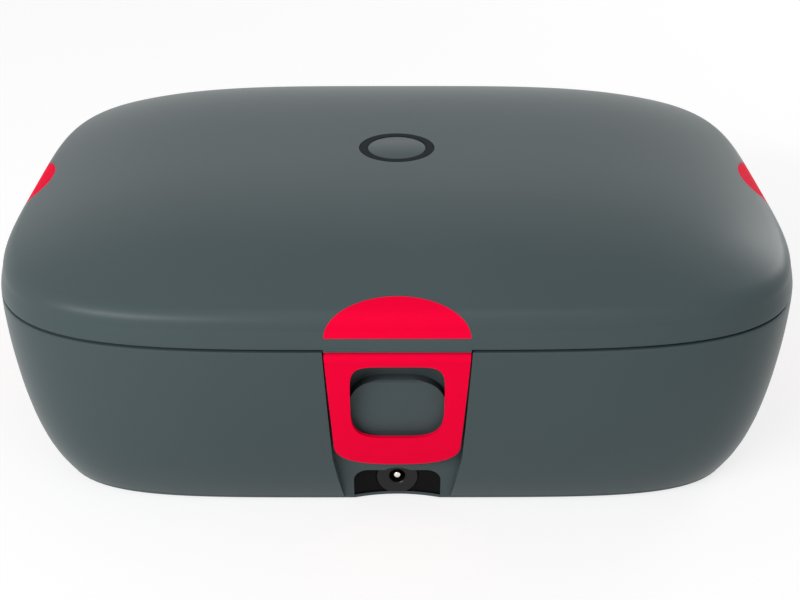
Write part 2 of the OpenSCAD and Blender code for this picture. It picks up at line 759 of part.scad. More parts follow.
// One moulded cover with windows for the pads, a hole for the ring and the latches' ears.
module lid_shell() {
    color(grey) {
        difference() {
            loft(lid_rings(0, lid_bottom));
            difference() {
                loft(lid_rings(wall, lid_bottom - 1));
                block([-lid_leaf_w / 2 - leaf_pad, hd - lid_pad_t, lid_bottom - 2],
                    [lid_leaf_w / 2 + leaf_pad, hd, lid_leaf_top + 2]);
                at_lid_posts() difference() {
                    translate([0, 0, liner_top]) cylinder(r = 3.5, h = 30, $fn = 24);
                    translate([0, 0, liner_top - 1]) cylinder(r = 1.25, h = 9, $fn = 24);
                }
                at_button_posts() difference() {
                    translate([0, 0, board2_z + board2_t]) cylinder(r = 2.4, h = 20, $fn = 24);
                    translate([0, 0, board2_z]) cylinder(r = 1, h = 7, $fn = 24);
                }
            }
            for (s = [0:2]) pad_prism(s, 0);
            translate([0, button_y, 0]) cylinder(r = ring_r + fit, h = far);
            translate([0, button_y, ring_seat_z - 8]) cylinder(r = ring_flange_r + fit, h = 8);
            block([-lid_leaf_w / 2 - fit, lid_seat_y, lid_bottom - 1],
                [lid_leaf_w / 2 + fit, hd + 5, lid_leaf_top + fit]);
            for (x = lid_screw_x) y_hole(x, lid_seat_y + 1, lid_screw_z, hinge_screw_r + run,
                screw_l + 1);
        }
        for (s = [0:2], x = ear_x) at_site(s) translate([x, 0, 0]) ear();
    }
}

module lid_liner() {
    color(dark_grey) difference() {
        slab(hw - wall - 0.8, hd - wall - 0.8, plan_n, liner_low, liner_top);
        for (s = [0:2], x = ear_x) at_site(s) block([x - ear_w / 2 - clear, -5, liner_low - 2],
            [x + ear_w / 2 + clear, ear_back + clear, liner_top + 2]);
        block([-lid_leaf_w / 2 - leaf_pad - clear, hd - lid_pad_t - clear, liner_low - 2],
            [lid_leaf_w / 2 + leaf_pad + clear, hd + 5, liner_top + 2]);
        at_lid_posts() translate([0, 0, liner_low - 1]) cylinder(r = 1.5, h = 10, $fn = 24);
        block([-contact_half[0] - fit, contact_y - contact_half[1] - fit, liner_low - 2],
            [contact_half[0] + fit, contact_y + contact_half[1] + fit, liner_top + 2]);
    }
}
module lid_liner_screws() {
    color(steel) at_lid_posts() {
        translate([0, 0, liner_low - 1.1]) cylinder(r = 2.6, h = 1.1, $fn = 24);
        translate([0, 0, liner_low - eps]) cylinder(r = 1.2, h = 8, $fn = 24);
    }
}
seal_w = 5;
module lid_seal() {
    color(silicone) difference() {
        slab(well_hw + mouth - 0.5, well_hd + mouth - 0.5, well_n, dish_top + 0.2, liner_low);
        slab(well_hw + mouth - seal_w, well_hd + mouth - seal_w, well_n, dish_top, split_z + 10);
    }
}
slab_half = [88, 54];
slab_t = 8;
module lid_insulation() {
    color([0.86, 0.85, 0.8]) slab(slab_half[0], slab_half[1], well_n, liner_top, liner_top + slab_t);
}

// A red insert that fills the shell's window, flush with it outside.
module pad(s) {
    color(red) intersection() {
        difference() {
            loft(lid_rings(0, lid_bottom));
            loft(lid_rings(wall, lid_bottom - 1));
        }
        pad_prism(s, -fit);
    }
}
module front_pad() {
    pad(0);
}
module left_pad() {
    pad(1);
}
module right_pad() {
    pad(2);
}

// ---- latches ----

// Heights at which the latch's side view bends to follow the wall, highest first.
latch_steps = 8;
latch_z = [for (k = [latch_steps - 1:-1:1]) latch_foot_z + (knuckle_z - latch_foot_z) * k / latch_steps];
latch_curve_h = 10;                                 // height of the curve at the free end
latch_curve_n = 2.7;                                // and its squareness

// Side view, in [y, z]: a sheet that follows the wall and hangs from the knuckle.
module latch_side() {
    polygon(concat([for (z = concat(latch_z, [latch_foot_z])) [lean(z), z]],
        [for (k = [len(latch_z):-1:0]) let (z = k < len(latch_z) ? latch_z[k] : latch_foot_z)
            [lean(z) + latch_t, z]],
        [[knuckle_r, knuckle_z], [0, knuckle_z]]));
}

// Front view, in [x, z]: a little wider at the top, with one full curve at the free end.
module latch_front() {
    points = outline(latch_low, latch_curve_h, latch_curve_n, 48);
    polygon(concat([[latch_top, split_z], [-latch_top, split_z]],
        [for (k = [24:48]) points[k % 48] + [0, latch_foot_z + latch_curve_h]]));
}

// Room round an ear, in [y, z], all the way to where the latch stops.
module ear_room() {
    back = bay_depth + 4.5;
    front = knuckle_r - 0.6;
    translate([knuckle_r, knuckle_z]) circle(ear_r + 0.25);
    polygon([[knuckle_r, knuckle_z], [0.2, knuckle_z + 5.2], [back, knuckle_z + 5.2],
        [back, knuckle_z - 5.5], [front, knuckle_z - 5.5], [front, knuckle_z - 2]]);
}

module latch() {
    color(red) difference() {
        intersection() {
            union() {
                across(far) latch_side();
                latch_rod(knuckle_r, far, $fn);
            }
            along(-2, 20) latch_front();
        }
        along(-5, 25) window();
        latch_rod(latch_pin_r + run, far, $fn);
        for (x = ear_x) translate([x, 0, 0]) across(ear_w + 2 * clear) ear_room();
    }
}
// A rod along the latch's axis.
module latch_rod(r, l, fn) {
    translate([-l / 2, knuckle_r, knuckle_z]) rotate([0, 90, 0]) cylinder(r = r, h = l, $fn = fn);
}
module window() {
    half_h = (window_top - window_low) / 2;
    translate([0, window_low + half_h]) polygon(outline(window_half, half_h, window_n, 48));
}
module latch_pin() {
    color(steel) latch_rod(latch_pin_r, 2 * (latch_top - 1.2), 24);
}
module front_latch() {
    at_site(0) latch();
}
module left_latch() {
    at_site(1) latch();
}
module right_latch() {
    at_site(2) latch();
}
module front_latch_pin() {
    at_site(0) latch_pin();
}
module left_latch_pin() {
    at_site(1) latch_pin();
}
module right_latch_pin() {
    at_site(2) latch_pin();
}

// ---- power button ----

cap_r = ring_r - ring_w - fit;
cap_low = ring_seat_z - 1.2;
switch_h = 3.4;
plunger_h = 0.7;
stem_low = board2_z + board2_t + switch_h + plunger_h + button_travel + fit;
module tube(r0, r1, z0, z1) {
    translate([0, button_y, z0]) difference() {
        cylinder(r = r1, h = z1 - z0);
        translate([0, 0, -1]) cylinder(r = r0, h = z1 - z0 + 2);
    }
}
module light_ring() {
    color(dark_grey) {
        tube(ring_r - ring_w, ring_r, ring_seat_z + 0.6, lid_top);
        tube(cap_r + 1.9, ring_r, ring_seat_z - eps, ring_seat_z + 0.6 + eps);
        tube(cap_r + 1.9, ring_flange_r, ring_seat_z - 1.6, ring_seat_z);
    }
}
module power_button() {
    color(grey) translate([0, button_y, 0]) {
        translate([0, 0, cap_low]) cylinder(r = cap_r, h = lid_top - 0.05 - cap_low);
        translate([0, 0, cap_low]) cylinder(r = cap_r + 1.4, h = 1.5);
        translate([0, 0, stem_low]) cylinder(r = 2.6, h = cap_low - stem_low + eps);
    }
}
module button_board() {
    color(board_green) difference() {
        block([-board2_half, button_y - board2_half, board2_z],
            [board2_half, button_y + board2_half, board2_z + board2_t]);
        at_button_posts() cylinder(r = 1.3, h = far, $fn = 24);
    }
}
module button_board_screws() {
    color(steel) at_button_posts() {
        translate([0, 0, board2_z - 1.1]) cylinder(r = 2.1, h = 1.1, $fn = 24);
        translate([0, 0, board2_z - eps]) cylinder(r = 0.95, h = 6, $fn = 24);
    }
}
module button_switch() {
    top = board2_z + board2_t;
    color(black) translate([0, button_y, top]) {
        block([-3, -3, 0], [3, 3, switch_h]);
        translate([0, 0, switch_h - eps]) cylinder(r = 1.7, h = plunger_h + eps, $fn = 24);
    }
}
spring_r = 6.2;
spring_wire = 0.45;
spring_turns = 4;
spring_steps = 60;
module button_spring() {
    low = board2_z + board2_t + spring_wire;
    rise = cap_low - spring_wire - low;
    points = [for (j = [0:spring_steps], k = [0:5])
        let (a = 360 * spring_turns * j / spring_steps, t = 60 * k, r = spring_r + spring_wire * cos(t))
        [r * cos(a), button_y + r * sin(a), low + rise * j / spring_steps + spring_wire * sin(t)]];
    faces = concat([[5, 4, 3, 2, 1, 0]], [[for (k = [0:5]) spring_steps * 6 + k]],
        [for (j = [0:spring_steps - 1], k = [0:5]) let (q = (k + 1) % 6)
        [j * 6 + k, j * 6 + q, (j + 1) * 6 + q, (j + 1) * 6 + k]]);
    color(steel) polyhedron(points, faces);
}
module lid_contact_block() {
    color(black) block([-contact_half[0], contact_y - contact_half[1], base_top + 0.7],
        [contact_half[0], contact_y + contact_half[1], liner_top + 3]);
}
ribbon_z = liner_top + slab_t;
module lid_ribbon() {
    color([0.55, 0.55, 0.56]) {
        block([-4, contact_y - 1, liner_top + 3], [4, contact_y, ribbon_z + 1]);
        block([-4, button_y + 6, ribbon_z], [4, contact_y, ribbon_z + 1]);
        block([-4, button_y + 6, ribbon_z], [4, button_y + 8, board2_z]);
    }
}

in_frame() base_shell();
in_frame() base_liner();
in_frame() liner_screws();
in_frame() rubber_feet();
in_frame() heated_well();
in_frame() heater_film();
in_frame() heater_retainer();
in_frame() retainer_nuts();
in_frame() thermistor();
in_frame() thermal_cutout();
in_frame() heater_leads();
in_frame() insulation_jacket();
in_frame() control_board();
in_frame() board_components();
in_frame() board_screws();
in_frame() dc_jack_housing();
in_frame() dc_jack_pin();
in_frame() jack_retainer();
in_frame() jack_leads();
in_frame() contact_block();
in_frame() contact_pins();
in_frame() contact_ribbon();
in_frame() food_dish();
in_frame() base_hinge_leaf();
in_frame() base_hinge_screws();
in_frame() hinge_pin();
in_frame() lid_shell();
in_frame() lid_liner();
in_frame() lid_liner_screws();
in_frame() lid_seal();
in_frame() lid_insulation();
in_frame() front_pad();
in_frame() left_pad();
in_frame() right_pad();
in_frame() front_latch_pin();
in_frame() left_latch_pin();
in_frame() right_latch_pin();
in_frame() light_ring();
in_frame() button_board();
in_frame() button_board_screws();
in_frame() button_switch();
in_frame() button_spring();
in_frame() lid_contact_block();
in_frame() lid_ribbon();
in_frame() lid_hinge_leaf();
in_frame() lid_hinge_screws();
in_frame() front_latch();
in_frame() left_latch();
in_frame() right_latch();
in_frame() power_button();
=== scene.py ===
# Heated lunch box: a moulded tub, its hinged lid, three snap latches and a power button.
# Lengths are millimetres about the middle of the tub until set_in_frame() puts a piece
# in the frame, in metres.
from math import acos, asin, atan, cos, degrees, hypot, pi, radians, sin, tan

import bmesh
import bpy
from mathutils import Matrix, Vector


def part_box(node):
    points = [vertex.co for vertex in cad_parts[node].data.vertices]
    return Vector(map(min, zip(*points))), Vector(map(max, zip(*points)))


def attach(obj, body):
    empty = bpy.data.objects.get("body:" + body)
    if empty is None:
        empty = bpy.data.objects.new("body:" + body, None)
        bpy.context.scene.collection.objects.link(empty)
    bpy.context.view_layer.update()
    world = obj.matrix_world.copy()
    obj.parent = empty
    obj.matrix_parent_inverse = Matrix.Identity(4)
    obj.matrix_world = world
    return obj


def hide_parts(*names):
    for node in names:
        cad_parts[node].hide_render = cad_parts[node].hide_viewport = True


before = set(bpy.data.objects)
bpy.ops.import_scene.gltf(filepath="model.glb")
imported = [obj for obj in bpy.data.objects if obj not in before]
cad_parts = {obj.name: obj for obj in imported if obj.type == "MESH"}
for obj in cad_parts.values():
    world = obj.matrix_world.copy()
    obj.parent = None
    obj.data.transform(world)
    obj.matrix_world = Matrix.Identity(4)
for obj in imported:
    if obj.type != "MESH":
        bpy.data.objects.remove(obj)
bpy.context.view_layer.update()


# ---- base shell ----
# A one-piece tub moulded in slate-grey ABS, with a fine matt texture. Its wall leans in
# towards the foot and folds in behind each latch. The inlet sits in a pocket in front.

BODY_W = 280.0
BODY_D = 212.0
SPLIT_Z = 69.5
SPLIT_GAP = 1.0
WALL = 2.5
TUCK = 16.0
PLAN_N = 4.25                 # squareness of the plan at the split line
FOOT_N = 5.4                  # and at the foot
LEAN_EVEN = 0.7               # share of the tuck that comes in evenly
LEAN_FOOT = 0.3               # and the share that comes in near the foot
FOOT_GAP = 0.8
FLOOR_T = 2.4
FOOT_EDGE_R = 0.8
RIM_R = 0.35
AROUND = 256                  # points around a moulded shell
HW = BODY_W / 2
HD = BODY_D / 2
BASE_TOP = SPLIT_Z - SPLIT_GAP / 2
LID_BOTTOM = SPLIT_Z + SPLIT_GAP / 2
FLOOR_TOP = FOOT_GAP + FLOOR_T
FAR = 400.0                   # longer than the whole object
FIT = 0.1                     # gap round a piece that is dropped into a seat
CLEAR = 0.3                   # gap between pieces that must not rub


def pick(piece):
    """Leaves only this piece selected, and active."""
    bpy.ops.object.select_all(action="DESELECT")
    piece.select_set(True)
    bpy.context.view_layer.objects.active = piece


def edit(piece, mode="FACE"):
    """Opens a piece in edit mode, with everything selected."""
    pick(piece)
    bpy.ops.object.mode_set(mode="EDIT")
    bpy.ops.mesh.select_mode(type=mode)
    bpy.ops.mesh.select_all(action="SELECT")


def close_edit():
    bpy.ops.object.mode_set(mode="OBJECT")


def modify(piece, kind, **settings):
    """Adds a modifier and applies it."""
    pick(piece)
    modifier = piece.modifiers.new(kind.lower(), kind)
    for key, value in settings.items():
        setattr(modifier, key, value)
    bpy.ops.object.modifier_apply(modifier=modifier.name)


def combine(piece, *tools, operation="DIFFERENCE"):
    """Cuts, joins or intersects a piece with tools, which are used up. A tool that has a
    material lines its cut with it."""
    for tool in tools:
        modify(piece, "BOOLEAN", object=tool, operation=operation, solver="EXACT",
               material_mode="TRANSFER")
        bpy.data.objects.remove(tool)


def round_edges(piece, width):
    """Rounds every edge that turns by more than 40 degrees."""
    modify(piece, "BEVEL", width=width, segments=2, limit_method="ANGLE", angle_limit=radians(40))


def copy_of(piece, matrix=Matrix.Identity(4)):
    """A second piece with its own mesh, moved by a matrix."""
    new = piece.copy()
    new.data = piece.data.copy()
    bpy.context.scene.collection.objects.link(new)
    new.data.transform(matrix)
    return new


def join(pieces):
    """Makes several pieces one object."""
    pick(pieces[0])
    for piece in pieces:
        piece.select_set(True)
    bpy.ops.object.join()
    return pieces[0]


def face_outwards(piece):
    """Recalculates the normals of a closed mesh."""
    edit(piece)
    bpy.ops.mesh.normals_make_consistent(inside=False)
    close_edit()


def ring_shell(path, closed=False):
    """A solid through rings (half width, half depth, height, squareness). A tube is cut
    into rows, and each row is drawn out to its ring. A closed path comes back to its start."""
    rows = len(path) - 1
    bpy.ops.object.select_all(action="DESELECT")
    bpy.ops.mesh.primitive_cylinder_add(vertices=AROUND, radius=1, depth=rows, end_fill_type="NOTHING")
    piece = bpy.context.object
    edit(piece, "EDGE")
    bpy.ops.mesh.select_all(action="DESELECT")
    mesh = bmesh.from_edit_mesh(piece.data)
    for edge in mesh.edges:
        edge.select_set(abs(edge.verts[0].co.z - edge.verts[1].co.z) > rows / 2)
    if rows > 1:
        bpy.ops.mesh.subdivide(number_cuts=rows - 1)
    bpy.ops.mesh.select_all(action="SELECT")
    if not closed:
        bpy.ops.mesh.fill_holes(sides=0)
    close_edit()
    for vertex in piece.data.vertices:
        half_w, half_d, height, n = path[round(vertex.co.z + rows / 2)]
        reach = hypot(vertex.co.x, vertex.co.y)
        c, s = vertex.co.x / reach, vertex.co.y / reach
        out = (abs(c) ** n + abs(s) ** n) ** (-1 / n)
        vertex.co = (half_w * out * c, half_d * out * s, height)
    if closed:
        edit(piece)
        bpy.ops.mesh.remove_doubles(threshold=0.0001)
        close_edit()
    face_outwards(piece)
    return piece


def prism(outline, depth, matrix):
    """A flat outline in [x, y] drawn out along +z by depth, then placed by a matrix."""
    bpy.ops.object.select_all(action="DESELECT")
    bpy.ops.mesh.primitive_circle_add(vertices=len(outline), radius=1, fill_type="NGON")
    piece = bpy.context.object
    for vertex, (x, y) in zip(piece.data.vertices, outline):
        vertex.co = (x, y, 0)
    edit(piece)
    bpy.ops.mesh.extrude_region_move(TRANSFORM_OT_translate={"value": (0, 0, depth)})
    close_edit()
    piece.data.transform(matrix)
    face_outwards(piece)
    return piece


def across(outline, width, x=0.0):
    """A side view in [y, z] drawn out across x, centred."""
    sideways = Matrix(((0, 0, 1, x - width / 2), (1, 0, 0, 0), (0, 1, 0, 0), (0, 0, 0, 1)))
    return prism(outline, width, sideways)


def along(outline, y0, y1):
    """A front view in [x, z] drawn out along y from y0 to y1."""
    backwards = Matrix(((1, 0, 0, 0), (0, 0, 1, y0), (0, 1, 0, 0), (0, 0, 0, 1)))
    return prism(outline, y1 - y0, backwards)


def block(low, high):
    """A box from its lowest to its highest corner."""
    low, high = Vector(low), Vector(high)
    bpy.ops.object.select_all(action="DESELECT")
    bpy.ops.mesh.primitive_cube_add(size=1)
    piece = bpy.context.object
    piece.data.transform(Matrix.Translation((low + high) / 2) @ Matrix.Diagonal((*(high - low), 1)))
    return piece


def bar(radius, start, end, sides=96):
    """A round bar from start to end."""
    start, end = Vector(start), Vector(end)
    bpy.ops.object.select_all(action="DESELECT")
    bpy.ops.mesh.primitive_cylinder_add(vertices=sides, radius=radius, depth=(end - start).length)
    piece = bpy.context.object
    turn = (end - start).to_track_quat("Z", "Y").to_matrix().to_4x4()
    piece.data.transform(Matrix.Translation((start + end) / 2) @ turn)
    return piece


def turned(profile, matrix=Matrix.Identity(4), sides=96):
    """A closed profile of (radius, height) pairs spun about z, then placed by a matrix."""
    bpy.ops.object.select_all(action="DESELECT")
    bpy.ops.mesh.primitive_circle_add(vertices=len(profile), radius=1, fill_type="NOTHING")
    piece = bpy.context.object
    for vertex, (r, z) in zip(piece.data.vertices, profile):
        vertex.co = (r, 0, z)
    edit(piece)
    bpy.ops.mesh.spin(steps=sides, angle=2 * pi, center=(0, 0, 0), axis=(0, 0, 1), dupli=False)
    bpy.ops.mesh.select_all(action="SELECT")
    bpy.ops.mesh.remove_doubles(threshold=0.0005)
    close_edit()
    piece.data.transform(matrix)
    face_outwards(piece)
    return piece


def spread(low, high, count):
    """Evenly spaced values from low to high, in count steps."""
    return [low + (high - low) * k / count for k in range(count + 1)]


def quarter(radius, steps):
    """Points of a quarter circle: how far in, and how far up."""
    return [(radius * (1 - cos(a)), radius * sin(a)) for a in spread(0, pi / 2, steps)]


def squircle(half_w, half_h, n, count, up=0.0):
    """Points of a rounded square whose middle is lifted by up."""
    points = []
    for a in spread(0, 2 * pi, count)[:-1]:
        out = (abs(cos(a)) ** n + abs(sin(a)) ** n) ** (-1 / n)
        points.append((half_w * out * cos(a), up + half_h * out * sin(a)))
    return points


def lean(z):
    """How far the tub's wall has leaned in at height z."""
    t = max(0.0, (SPLIT_Z - z) / SPLIT_Z)
    return TUCK * (LEAN_EVEN * t**1.5 + LEAN_FOOT * t**5.6)


def wall_ring(z, off, height=None):
    """The tub's ring at height z, moved in by off."""
    n = PLAN_N + (FOOT_N - PLAN_N) * (SPLIT_Z - z) / SPLIT_Z
    return (HW - lean(z) - off, HD - lean(z) - off, z if height is None else height, n)


EDGE_Z = FOOT_GAP + FOOT_EDGE_R
RIM_Z = BASE_TOP - RIM_R
INNER_R = 2.0
outside = [wall_ring(EDGE_Z, inward, EDGE_Z - up) for inward, up in quarter(FOOT_EDGE_R, 4)][::-1]
outside += [wall_ring(z, 0) for z in spread(EDGE_Z, RIM_Z, 60)[1:]]
outside += [wall_ring(RIM_Z + up, inward) for inward, up in quarter(RIM_R, 3)][1:]
inside = [wall_ring(FLOOR_TOP + INNER_R - up, WALL + inward) for inward, up in quarter(INNER_R, 4)][::-1]
inside += [wall_ring(z, WALL) for z in spread(FLOOR_TOP + INNER_R, RIM_Z, 30)[1:]]
inside += [wall_ring(BASE_TOP, WALL - RIM_R), wall_ring(BASE_TOP, WALL - RIM_R, SPLIT_Z + 3)]

# The recess that each latch folds into
LATCH_TOP = 23.6              # half width of a latch at its knuckle
LATCH_LOW = 21.2              # and near its free end
LATCH_FOOT = 21.0
LATCH_T = 1.5
KNUCKLE_R = 3.2
KNUCKLE_Z = BASE_TOP - KNUCKLE_R
BAY_DEPTH = 10.5
BAY_GAP = (0.5, 2.7, 2.7)
BAY_LOW_GAP = (0.6, 1.2, 1.2)
BAY_FOOT = 18.1
BAY_LOW = LATCH_FOOT + 2.5
SITES = (("front", 0.0, HD), ("left", -90.0, HW), ("right", 90.0, HW))


def site_matrix(site):
    """Takes a piece drawn at the front, with y = 0 at the wall, to a latch's place."""
    name, turn, reach = SITES[site]
    return Matrix.Rotation(radians(turn), 4, "Z") @ Matrix.Translation((0, -reach, 0))


def bay(site, grow=0.0):
    """The recess behind a latch, grown where it's taken from the cavity to leave a wall."""
    top = LATCH_TOP + BAY_GAP[site] + grow
    mid = LATCH_LOW + BAY_LOW_GAP[site] + grow
    foot = BAY_FOOT + grow
    back = BAY_DEPTH + grow
    low_back = lean(FOOT_GAP) + grow
    side = across([(-3, -1), (-3, SPLIT_Z + 2), (back, SPLIT_Z + 2), (back, BAY_LOW),
                   (low_back, FOOT_GAP), (low_back, -1)], FAR)
    front = along([(-foot, -1), (-mid, BAY_LOW), (-top, SPLIT_Z + 2), (top, SPLIT_Z + 2),
                   (mid, BAY_LOW), (foot, -1)], -5, back + 20)
    combine(side, front, operation="INTERSECT")
    side.data.transform(site_matrix(site))
    return side


# The boss that fills the latch's window, round at its upper corners
WINDOW_HALF = 15.4
WINDOW_LOW = 33.6
WINDOW_TOP = 63.6
WINDOW_N = (3.9, 6.0)         # squareness of its lower and upper half
BOSS_HALF = WINDOW_HALF + 1.2
BOSS_TOP = WINDOW_TOP - 9.2
BOSS_LOW = WINDOW_LOW - 5
BOSS_BEND = 46.0
BOSS_N = 3.2
BOSS_EDGE = 0.5
BOSS_MID_FACE = 7.5           # the least depth of its face at the window's foot
BOSS_LOW_FACE = 8.6           # and at its own foot
SIDE_FACE = lean(LATCH_FOOT) + LATCH_T + CLEAR
BOSS_FACE = (6.6, SIDE_FACE, SIDE_FACE)


def boss(site):
    """The boss in a latch's recess: its side view, cut to a rounded front view."""
    face = BOSS_FACE[site]
    back = BAY_DEPTH + 1
    side = across([(back, BOSS_LOW), (back, BOSS_TOP + 2.5), (face + BOSS_EDGE, BOSS_TOP),
                   (face, BOSS_TOP - BOSS_EDGE), (face, BOSS_BEND),
                   (max(face, BOSS_MID_FACE), WINDOW_LOW + 1), (max(face, BOSS_LOW_FACE), BOSS_LOW)], FAR)
    low = BOSS_LOW - 8
    half_h = (BOSS_TOP + 0.4 - low) / 2
    front = along(squircle(BOSS_HALF, half_h, BOSS_N, 96, low + half_h), -5, 30)
    combine(side, front, operation="INTERSECT")
    side.data.transform(site_matrix(site))
    return side


# The inlet's pocket: arched at the foot and bowed in plan, with a round seat
JACK_Z = 8.6
JACK_FACE_R = 7.4
JACK_BARREL_R = 5.2
POCKET_HALF = 15.0
POCKET_TOP = JACK_Z + 6.2
POCKET_CORNER = 5.0
POCKET_Y = -(HD - lean(FOOT_GAP) - 2.2)
POCKET_ARC = 52.0
LIP_TOP = 2.0                 # a low lip runs across the pocket's foot
LIP_STEP = 0.5
SEAT_Y = POCKET_Y + LIP_STEP + 0.4


def pocket_outline(grow):
    """The pocket's front view, from below the foot up to its rounded corners."""
    half = POCKET_HALF + grow
    top = POCKET_TOP + grow
    r = POCKET_CORNER
    left = [(-half + r - r * cos(a), top - r + r * sin(a)) for a in spread(0, pi / 2, 10)]
    return [(-half, -1), *left, *[(-x, z) for x, z in left[::-1]], (half, -1)]


def pocket_arc(y, low, high):
    """The round back of the pocket between two heights, bowed in plan."""
    return bar(POCKET_ARC, (0, y - POCKET_ARC, low), (0, y - POCKET_ARC, high), 192)


# Seats for the rear hinge and the feet
HINGE_OUT = 5.0
HINGE_R = 4.0
AXIS_Z = SPLIT_Z - 14
LEAF_T = 2.4
LEAF_HALF_H = 9.0
LID_LEAF_W = 54.0
BASE_LEAF_HALF = LID_LEAF_W / 2 + FIT + 18
BASE_SEAT_Y = HD - 1.9
LEAF_PAD = 3.0
LEAF_PAD_T = 9.0
FOOT_R = 8.0
FOOT_SEAT = FOOT_GAP + 1.2


def half_span(node):
    """Half the width and half the depth of a node, in millimetres."""
    low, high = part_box(node)
    return (high[0] - low[0]) * 500, (high[1] - low[1]) * 500


def corners(half_w, half_d):
    """The four corners of a rectangle about the middle."""
    return [(x, y) for x in (-half_w, half_w) for y in (-half_d, half_d)]


feet_half = half_span("rubber_feet")
POSTS = corners(feet_half[0] - FOOT_R, feet_half[1] - FOOT_R)


def set_in_frame(piece, body, *nodes, slot, name=None, angle=30):
    """Smooths a piece, puts it in the frame in metres, and fixes it to its body."""
    pick(piece)
    bpy.ops.object.shade_smooth_by_angle(angle=radians(angle))
    shift = Matrix.Translation((0, -(HINGE_OUT + HINGE_R) / 2000, 0))
    piece.data.transform(shift @ Matrix.Scale(0.001, 4))
    piece.name = name or nodes[0] + "_dressed"
    piece.data.name = piece.name
    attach(piece, body)
    if nodes:
        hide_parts(*nodes)


def linear(code):
    """A hex sRGB colour as the linear colour that shaders take."""
    parts = [int(code[i:i + 2], 16) / 255 for i in (0, 2, 4)]
    return [c / 12.92 if c <= 0.04045 else ((c + 0.055) / 1.055) ** 2.4 for c in parts] + [1.0]


def shade(code, factor):
    """The same colour, lighter or darker."""
    return [min(1.0, c * factor) for c in linear(code)[:3]] + [1.0]


def add_node(tree, kind, inputs=None, **settings):
    """Adds a shader node, sets its properties, and sets or links its inputs."""
    node = tree.nodes.new(kind)
    for key, value in settings.items():
        setattr(node, key, value)
    for key, value in (inputs or {}).items():
        if isinstance(value, bpy.types.NodeSocket):
            tree.links.new(value, node.inputs[key])
        else:
            node.inputs[key].default_value = value
    return node


def material(name, colour, height=None, depth_mm=0.0, **inputs):
    """A Principled material. colour and height are functions that take the node tree and
    the Object coordinates, and return a colour socket and a height socket."""
    new = bpy.data.materials.new(name)
    new.use_nodes = True
    tree = new.node_tree
    shader = tree.nodes["Principled BSDF"]
    for key, value in inputs.items():
        shader.inputs[key.replace("_", " ")].default_value = value
    place = add_node(tree, "ShaderNodeTexCoord").outputs["Object"]
    tree.links.new(colour(tree, place), shader.inputs["Base Color"])
    if height:
        bump = add_node(tree, "ShaderNodeBump", {"Height": height(tree, place), "Distance": depth_mm / 1000})
        tree.links.new(bump.outputs["Normal"], shader.inputs["Normal"])
    return new


def per_mm(size):
    """The texture scale at which one cell of a pattern is size millimetres, in metres."""
    return 1000 / size


def clouds(code, size_mm, change):
    """A colour that drifts lighter and darker over patches of a given size."""
    def colour(tree, place):
        noise = add_node(tree, "ShaderNodeTexNoise",
                         {"Vector": place, "Scale": per_mm(size_mm), "Detail": 2.0})
        ramp = add_node(tree, "ShaderNodeValToRGB", {"Fac": noise.outputs["Fac"]})
        ramp.color_ramp.elements[0].position = 0.3
        ramp.color_ramp.elements[0].color = shade(code, 1 - change)
        ramp.color_ramp.elements[1].position = 0.7
        ramp.color_ramp.elements[1].color = shade(code, 1 + change)
        return ramp.outputs["Color"]
    return colour


def grain(size_mm, stretch=(1, 1, 1)):
    """Fine bumps of a given size, drawn out along an axis where stretch is small."""
    def height(tree, place):
        scaled = add_node(tree, "ShaderNodeMapping", {"Vector": place, "Scale": stretch})
        noise = add_node(tree, "ShaderNodeTexNoise",
                         {"Vector": scaled.outputs["Vector"], "Scale": per_mm(size_mm), "Detail": 1.0})
        return noise.outputs["Fac"]
    return height


def dress(piece, *finishes):
    """Gives a piece its materials."""
    piece.data.materials.clear()
    for finish in finishes:
        piece.data.materials.append(finish)


# ABS from a spark-eroded mould: a matt skin with a broad, weak sheen. The real texture is
# finer than 0.1 mm, and is drawn at 0.5 mm so that it breaks up the sheen a little.
slate_abs = material("spark_textured_abs", clouds("475456", 60, 0.03), grain(0.5), 0.003,
                     Roughness=0.36, Specular_IOR_Level=0.16)
# Glass-filled nylon, moulded black: it makes the inlet. It also lines the inlet's pocket and seat, where its
# near-black is painted shade.
black_nylon_and_painted_shade = material("black_nylon_and_painted_pocket_shade", clouds("070708", 8, 0.1), grain(0.4), 0.004,
                       Roughness=0.6, Specular_IOR_Level=0.1)

tub = ring_shell(outside)
cavity = ring_shell(inside)
combine(cavity, *[bay(site, WALL) for site in range(3)])
combine(cavity, along(pocket_outline(WALL), -FAR / 2, SEAT_Y + WALL))
combine(cavity, block((-BASE_LEAF_HALF - LEAF_PAD, HD - LEAF_PAD_T, AXIS_Z - LEAF_HALF_H - LEAF_PAD),
                      (BASE_LEAF_HALF + LEAF_PAD, HD + 1, AXIS_Z + LEAF_HALF_H + 2)))
combine(tub, cavity, *[bay(site) for site in range(3)])
# The pocket is cut in two steps, with the low lip's part in the tub's own colour. The rest of the pocket and
# the seat take the near-black, as painted shade.
lip = along(pocket_outline(0), -FAR / 2, POCKET_Y + 5)
pocket = copy_of(lip)
combine(lip, pocket_arc(POCKET_Y, -2, LIP_TOP + 0.1), operation="INTERSECT")
combine(pocket, pocket_arc(POCKET_Y + LIP_STEP, LIP_TOP, POCKET_TOP + 5), operation="INTERSECT")
seat = bar(JACK_FACE_R + FIT, (0, SEAT_Y - 8, JACK_Z), (0, SEAT_Y, JACK_Z))
combine(seat, block((-20, SEAT_Y - 9, -2), (20, SEAT_Y + 1, LIP_TOP)))
dress(tub, slate_abs, black_nylon_and_painted_shade)
dress(lip, slate_abs)
dress(pocket, black_nylon_and_painted_shade)
dress(seat, black_nylon_and_painted_shade)
combine(tub, lip, pocket, seat)
combine(tub, bar(JACK_BARREL_R, (0, SEAT_Y - 1, JACK_Z), (0, SEAT_Y + 9, JACK_Z)))
combine(tub, block((-BASE_LEAF_HALF - FIT, BASE_SEAT_Y, AXIS_Z - LEAF_HALF_H - FIT),
                   (BASE_LEAF_HALF + FIT, HD + 5, AXIS_Z + LEAF_HALF_H + FIT)))
